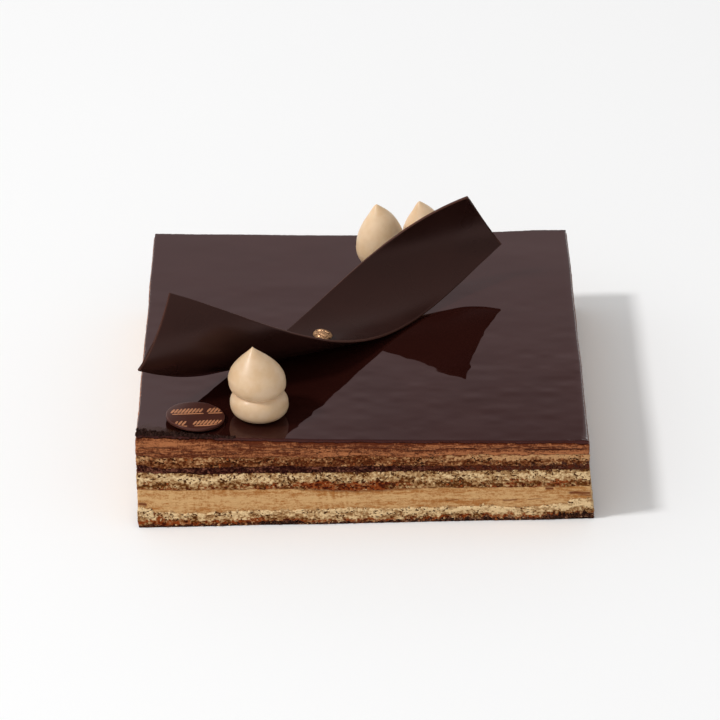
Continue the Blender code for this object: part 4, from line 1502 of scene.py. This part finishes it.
def disc_print(form):
    """Two copper garlands on the disc, each in two runs: slanted leaves, tallest
    half-way, above a bar.

    Every leaf and bar is a rounded lozenge, whose ring of points is a cosine
    and a sine raised to a power, long along its own line and cut off where the
    disc ends; its upper and lower ring make a thin plate.
    """
    # each run's level up the disc, start and end, in millimetres; a leaf's and a
    # bar's middle, half length, half width, slope and roundness
    marks = []
    for row, start, end in ((4.2, -10.4, 4.0), (4.2, 6.0, 12.6),
                            (-7.4, -11.0, -5.4), (-7.4, -2.2, 10.6)):
        count = int(round((end - start) / 1.6))
        step = np.arange(count)
        place = start + (step + 0.5) * (end - start) / count
        tall = 1.9 + 0.8 * np.sin(math.pi * (step + 0.5) / count)
        same = np.ones(count)
        marks.append(np.stack([place, row * same, tall, 0.50 * same,
                               math.radians(58.0) * same, 0.8 * same]))
        marks.append(np.array([[0.5 * (start + end)], [row - 2.9], [0.5 * (end - start)],
                               [0.46], [0.0], [0.3]]))
    x, y, long, wide, lean, power = (part[:, None] for part in np.concatenate(marks, 1))
    sides = 16
    around = circle(sides)
    along = long * signed_power(np.cos(around), power)
    aside = wide * signed_power(np.sin(around), power)
    x, y = (MILLI * (x + along * np.cos(lean) - aside * np.sin(lean)),
            MILLI * (y + along * np.sin(lean) + aside * np.cos(lean)))
    keep = np.minimum(1.0, (form.disc_radius - 0.7 * MILLI) / np.hypot(x, y))
    c, s = math.cos(form.print_turn), math.sin(form.print_turn)
    flat = np.stack([(x * c - y * s) * keep, (x * s + y * c) * keep], -1)
    flat = np.concatenate([flat, flat.mean(1, keepdims=True)], 1)
    level = 0.5 * form.disc_thickness + 0.05 * MILLI * np.array([1.0, -1.0])
    shape = (*flat.shape[:2], 1)
    plates = np.concatenate([np.concatenate([flat, np.full(shape, z)], -1) for z in level], 1)
    each = sides + 1
    ring, after = np.arange(sides), (np.arange(sides) + 1) % sides
    top = np.stack([np.full(sides, sides), ring, after], -1)
    under = np.stack([np.full(sides, each + sides), after + each, ring + each], -1)
    wall = np.stack([ring, ring + each, after + each, after], -1)
    first = np.arange(len(plates))[:, None, None] * 2 * each
    return (plates.reshape(-1, 3), (wall + first).reshape(-1, 4),
            (np.concatenate([top, under]) + first).reshape(-1, 3))


class CAKE_OT_bean(CakeOperator, Operator):
    """Make the gilded coffee bean"""

    bl_idname = "cake.bean"
    bl_label = "Gilded Bean"

    def execute(self, context):
        form, colours = context.scene.cake_decoration, context.scene.cake_colours
        points, quads, triangles, hollow = bean(form)
        mesh = make_mesh("gilded_bean", moved_into(points, "gold_bean"), quads, triangles,
                         {"hollow": hollow})
        made, tree, shader = new_material("bean_gilding")
        leaf = speckle(tree, 0.0009, 4.0)
        share = sums(tree, "ADD", field(tree, "hollow"),
                     sums(tree, "MULTIPLY", sums(tree, "SUBTRACT", leaf, 0.5), 1.6))
        gilt = mixed(tree, spread(tree, share, 0.1, 0.8), colours.gold, colours.gold_deep)
        paint(tree, shader, gilt, spread(tree, leaf, 0.3, 0.7, 0.28, 0.5))
        shader.inputs["Metallic"].default_value = 0.55
        place_piece("gilded_bean", mesh, made, "gilding", "gold_bean")
        return {"FINISHED"}


def bean(form):
    """An egg flattened below, with a winding groove, folds beside it and dents."""
    rows, columns = 72, 120
    polar = np.linspace(0.0, math.pi, rows + 2)[1:-1, None]
    around = circle(columns)
    x = 0.5 * np.sin(polar) * np.cos(around)
    y = 0.5 * np.sin(polar) * np.sin(around)
    z = 0.5 * np.cos(polar) + 0.0 * x
    rough = layered((x, y, z), [0.20] * 3, 801, 4)
    aside = y - 0.07 * np.sin(5.5 * x + 0.6) - 0.06 * rough
    on_top = smooth(z / 0.12)
    ends = 1.0 - (2.0 * x) ** 2
    groove = np.exp(-(aside / 0.045) ** 2) * ends
    folds = np.exp(-((np.abs(aside) - 0.19 - 0.06 * np.cos(6.0 * x)) / 0.035) ** 2) * ends
    dents = smooth((layered((x, y, z), [0.13] * 3, 809, 3) - 0.12) / 0.16)
    veins = np.exp(-(layered((x, y, z), [0.16] * 3, 817, 3) / 0.05) ** 2)
    hollow = np.clip(on_top * (groove + 0.75 * folds + 0.55 * veins) + 0.6 * dents, 0.0, 1.0)
    shrink = 0.98 - on_top * (0.10 * groove + 0.06 * folds) + 0.06 * rough
    shrink = shrink - 0.05 * dents - 0.03 * veins
    x, y = x * shrink, y * shrink
    z = np.where(z > 0.0, z * shrink - 0.10 * on_top * groove, 0.72 * z * shrink)
    scale = np.array([form.bean_length, form.bean_width, form.bean_height])
    rings = np.stack([x, y, z], -1) * scale
    points, quads, triangles = closed_tube(rings, rings[0].mean(0), rings[-1].mean(0))
    turn = np.array(Matrix.Rotation(form.bean_turn, 3, "Z"))
    hollow = with_poles(hollow, float(hollow[0].mean()), 0.0)
    return points @ turn.T, quads, triangles, hollow


class CAKE_OT_crumbs(CakeOperator, Operator):
    """Make the loose crumbs on the cut sides and the torn bits of glaze, whose darkness is partly
    a painted reflection
    """

    bl_idname = "cake.crumbs"
    bl_label = "Clinging Crumbs"

    def execute(self, context):
        form, colours = context.scene.cake_form, context.scene.cake_colours
        pale = pale_crumb("clinging_crumb", colours)
        dark = broken_chocolate("clinging_chocolate", colours.chip_light, colours.chip_middle,
                                colours.base, colours.chip_soaked, colours.pit)
        torn = broken_chocolate("torn_glaze_and_reflection", colours.torn_light, colours.torn_middle,
                                colours.glaze, colours.torn_soaked, colours.pit)
        for name, material, slot, made in (
                ("pale_crumbs", pale, "pale_sponge", crumbs(form, 1500, 31, True)),
                ("dark_crumbs", dark, "chocolate_base", crumbs(form, 900, 53, False)),
                ("glaze_scraps", torn, "glaze", scraps(form, 520, 71))):
            place_piece(name, make_mesh(name, *made), material, slot)
        return {"FINISHED"}


def lumps_at(centres, size, chance):
    """Small balls at the centres, each stretched along the axes and made rough by
    random shares; gives their points, faces and the number of points of each."""
    count = len(centres)
    polar = np.linspace(0.0, math.pi, 7)[1:-1, None]
    around = circle(8)
    rings = np.stack([np.sin(polar) * np.cos(around), np.sin(polar) * np.sin(around),
                      np.cos(polar) + 0.0 * around], -1)
    ball, quads, triangles = closed_tube(rings, (0.0, 0.0, 1.0), (0.0, 0.0, -1.0))
    stretch = mix(0.7, 1.3, chance.random((count, 1, 3)))
    rough = 1.0 + 0.5 * (chance.random((count, len(ball), 1)) - 0.5)
    points = centres[:, None, :] + ball[None] * stretch * rough * size[:, None, None]
    points[:, :, 2] = np.maximum(points[:, :, 2], 0.02 * MILLI)
    step = np.arange(count)[:, None, None] * len(ball)
    return (points.reshape(-1, 3), (quads[None] + step).reshape(-1, 4),
            (triangles[None] + step).reshape(-1, 3), len(ball))


def scraps(form, count, seed):
    """Torn bits of glaze on its upper face, along the left end of the cut edge; their dark colours
    also paint the disc's dark reflection in the glaze there.
    """
    chance = np.random.default_rng(seed)
    along = chance.random(count) ** 1.5
    x = MILLI * mix(-99.6, -56.0, along)
    y = form.front_edge + MILLI * (0.7 + mix(7.0, 0.8, along ** 0.6) * chance.random(count) ** 1.6)
    size = mix(0.25, 0.8, chance.random(count) ** 2.0) * MILLI
    centres = np.stack([x, y, face_height(form, x, y)], -1)
    points, quads, triangles, each = lumps_at(centres, size, chance)
    tone = np.repeat(0.15 + 0.7 * chance.random(count), each)
    return points, quads, triangles, {"tone": tone, "soak": 0.0 * tone, "pit": 0.0 * tone}


def crumbs(form, count, seed, pale):
    """Small lumps half sunk in the sides, at random columns of the outline and
    at heights inside the layers they come from: sponges if pale, or else the
    base and the ganache."""
    chance = np.random.default_rng(seed)
    outline = Outline(form, SIDE_COLUMNS)
    front, corner, on_cut_face = SIDE_COLUMNS[0], 4, 0.62
    column = np.where(chance.random(count) < on_cut_face,
                      chance.integers(corner, front - corner, count),
                      chance.integers(front, outline.columns - corner, count))
    kind, share = chance.random(count), chance.random(count)
    if not pale:
        near_right = (chance.random(count) < 0.35) & (column < front)
        column = np.where(near_right, chance.integers(front - 140, front - 3, count), column)
    levels = {key: joint(key)(outline)[column] for key in JOINTS}
    if pale:
        in_bottom = mix(levels["base"], levels["sponge_bottom"], mix(-0.1, 1.12, share))
        in_middle = mix(levels["cream_lower"], levels["sponge_middle"], mix(0.05, 1.0, share))
        in_top = mix(levels["ganache"], levels["sponge_top"], share)
        height = np.where(kind < 0.48, in_bottom, np.where(kind < 0.85, in_middle, in_top))
    else:
        in_ganache = mix(levels["sponge_middle"], levels["ganache"], mix(-0.2, 1.5, share))
        height = np.where(kind < 0.6, levels["base"] * mix(0.2, 1.2, share), in_ganache)
    size = mix(0.22, 0.75, chance.random(count) ** 2.5) * MILLI
    centre_x, centre_y = outline.taken(column).at(height, -0.2 * size)
    centres = np.stack([centre_x, centre_y, np.maximum(height, size * 1.3)], -1)
    points, quads, triangles, each = lumps_at(centres, size, chance)
    low_down = np.where(kind < 0.48, 0.6 * (share < 0.35), 0.8 * (share < 0.4))
    tone = np.repeat(0.30 + 0.75 * chance.random(count), each)
    soak = np.repeat(low_down + 0.8 * (kind >= 0.85) + 0.2 * chance.random(count) - 0.1, each)
    return points, quads, triangles, {"tone": tone, "soak": soak, "pit": 0.0 * tone}


# ----------------------------------------------------------------------- stage
class CAKE_OT_stage(CakeOperator, Operator):
    """Set up the pale floor, the soft light and the camera"""

    bl_idname = "cake.stage"
    bl_label = "Stage"

    def execute(self, context):
        scene, stage = context.scene, context.scene.cake_stage
        scene.view_settings.view_transform = "Standard"
        make_floor(stage)
        make_lights(stage)
        make_camera(scene, stage)
        return {"FINISHED"}


def make_floor(stage):
    """A wide plain floor a hair below the cake."""
    rows, reach, sunk = 33, 4.0, 0.02 * MILLI
    run = np.linspace(-reach, reach, rows)
    y, x = np.meshgrid(run, run, indexing="ij")
    points = np.stack([x, y, np.full(x.shape, -sunk)], -1)
    mesh = make_mesh("floor", points, grid_faces(rows, rows, False)[:, ::-1],
                     np.zeros((0, 3), int), inside=False)
    made, tree, shader = new_material("floor_paper")
    grain = speckle(tree, 0.4, 2.0)
    faint = shade(stage.floor, 0.985)
    tree.links.new(mixed(tree, grain, stage.floor, faint), shader.inputs["Base Color"])
    shader.inputs["Roughness"].default_value = 0.9
    shader.inputs["Specular IOR Level"].default_value = 0.1
    mesh.materials.append(made)
    floor = bpy.data.objects.new("floor", mesh)
    bpy.context.scene.collection.objects.link(floor)


def make_lights(stage):
    """A soft box at the left and a pale room, brighter at the left, with a white
    backdrop behind and a darker gap above it."""
    reach = 4.0
    level = reach * math.cos(stage.key_height)
    place = Vector((-level * math.cos(stage.key_aside), -level * math.sin(stage.key_aside),
                    reach * math.sin(stage.key_height)))
    data = bpy.data.lights.new("key_light", "AREA")
    data.shape, data.size, data.energy = "SQUARE", stage.key_size, stage.key
    key = bpy.data.objects.new("key_light", data)
    key.location = place
    key.rotation_euler = (-place).to_track_quat("-Z", "Y").to_euler()
    bpy.context.scene.collection.objects.link(key)
    world = bpy.data.worlds.new("studio")
    world.use_nodes = True
    tree = world.node_tree
    facing = add_node(tree, "ShaderNodeTexCoord").outputs["Generated"]
    lean = add_node(tree, "ShaderNodeVectorMath", {1: (-stage.room_lean, 0.0, 0.0)},
                    operation="DOT_PRODUCT")
    tree.links.new(facing, lean.inputs[0])
    parts = add_node(tree, "ShaderNodeSeparateXYZ")
    tree.links.new(facing, parts.inputs[0])
    low = spread(tree, parts.outputs["Z"], 0.45, 0.56, stage.backdrop, -stage.gap)
    low = sums(tree, "MULTIPLY", low, spread(tree, parts.outputs["Z"], 0.64, 0.85, 1.0, 0.0))
    behind = sums(tree, "MULTIPLY", low, spread(tree, parts.outputs["Y"], 0.0, 0.5))
    room = sums(tree, "MULTIPLY_ADD", lean.outputs["Value"], stage.room, stage.room)
    bright = sums(tree, "MULTIPLY_ADD", behind, room, room)
    tree.nodes["Background"].inputs["Color"].default_value = (1.0, 1.0, 1.0, 1.0)
    tree.links.new(bright, tree.nodes["Background"].inputs["Strength"])
    bpy.context.scene.world = world


def make_camera(scene, stage):
    """The camera looks down at the cake's middle from the front."""
    low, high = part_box("glaze")
    left_by, back_by, level = 0.0014, 0.0102, 0.022
    aim = Vector((0.5 * (low.x + high.x) - left_by, 0.5 * (low.y + high.y) + back_by, level))
    flat = math.cos(stage.pitch)
    ahead = Vector((math.sin(stage.azimuth) * flat, math.cos(stage.azimuth) * flat,
                    -math.sin(stage.pitch)))
    data = bpy.data.cameras.new("camera")
    data.lens = stage.lens
    data.sensor_width = 36.0
    data.clip_start = 0.1
    data.clip_end = 20.0
    camera = bpy.data.objects.new("camera", data)
    scene.collection.objects.link(camera)
    turn = ahead.to_track_quat("-Z", "Y").to_matrix().to_4x4()
    camera.matrix_world = (Matrix.Translation(aim - ahead * stage.distance) @ turn
                           @ Matrix.Rotation(stage.roll, 4, "Z"))
    scene.camera = camera


OPERATORS = (CAKE_OT_sponges, CAKE_OT_creams, CAKE_OT_chocolate_layers, CAKE_OT_glaze,
             CAKE_OT_sheet, CAKE_OT_dollops, CAKE_OT_disc, CAKE_OT_bean, CAKE_OT_crumbs,
             CAKE_OT_stage)


class CAKE_PT_panel(Panel):
    """The cake's panel in the sidebar."""

    bl_idname = "CAKE_PT_panel"
    bl_label = "Opera Cake"
    bl_space_type = "VIEW_3D"
    bl_region_type = "UI"
    bl_category = "Opera Cake"

    def draw(self, context):
        for operator in OPERATORS:
            self.layout.operator(operator.bl_idname)
        for settings in (context.scene.cake_form, context.scene.cake_decoration,
                         context.scene.cake_colours, context.scene.cake_stage):
            box = self.layout.box()
            for name in settings.__annotations__:
                box.prop(settings, name)


GROUPS = (("cake_form", CakeForm), ("cake_decoration", DecorationForm),
          ("cake_colours", CakeColours), ("cake_stage", StageForm))


def register():
    """Register the settings, the operators and the panel."""
    for name, group in GROUPS:
        bpy.utils.register_class(group)
        setattr(bpy.types.Scene, name, PointerProperty(type=group))
    for made in (*OPERATORS, CAKE_PT_panel):
        bpy.utils.register_class(made)


def unregister():
    """Take away the panel, the operators and the settings."""
    for made in (CAKE_PT_panel, *reversed(OPERATORS)):
        bpy.utils.unregister_class(made)
    for name, group in reversed(GROUPS):
        delattr(bpy.types.Scene, name)
        bpy.utils.unregister_class(group)


def main():
    """Make every piece in order."""
    register()
    for operator in OPERATORS:
        family, name = operator.bl_idname.split(".")
        if getattr(getattr(bpy.ops, family), name)() != {"FINISHED"}:
            raise RuntimeError(operator.bl_label + " was not made")


if __name__ == "__main__":
    main()
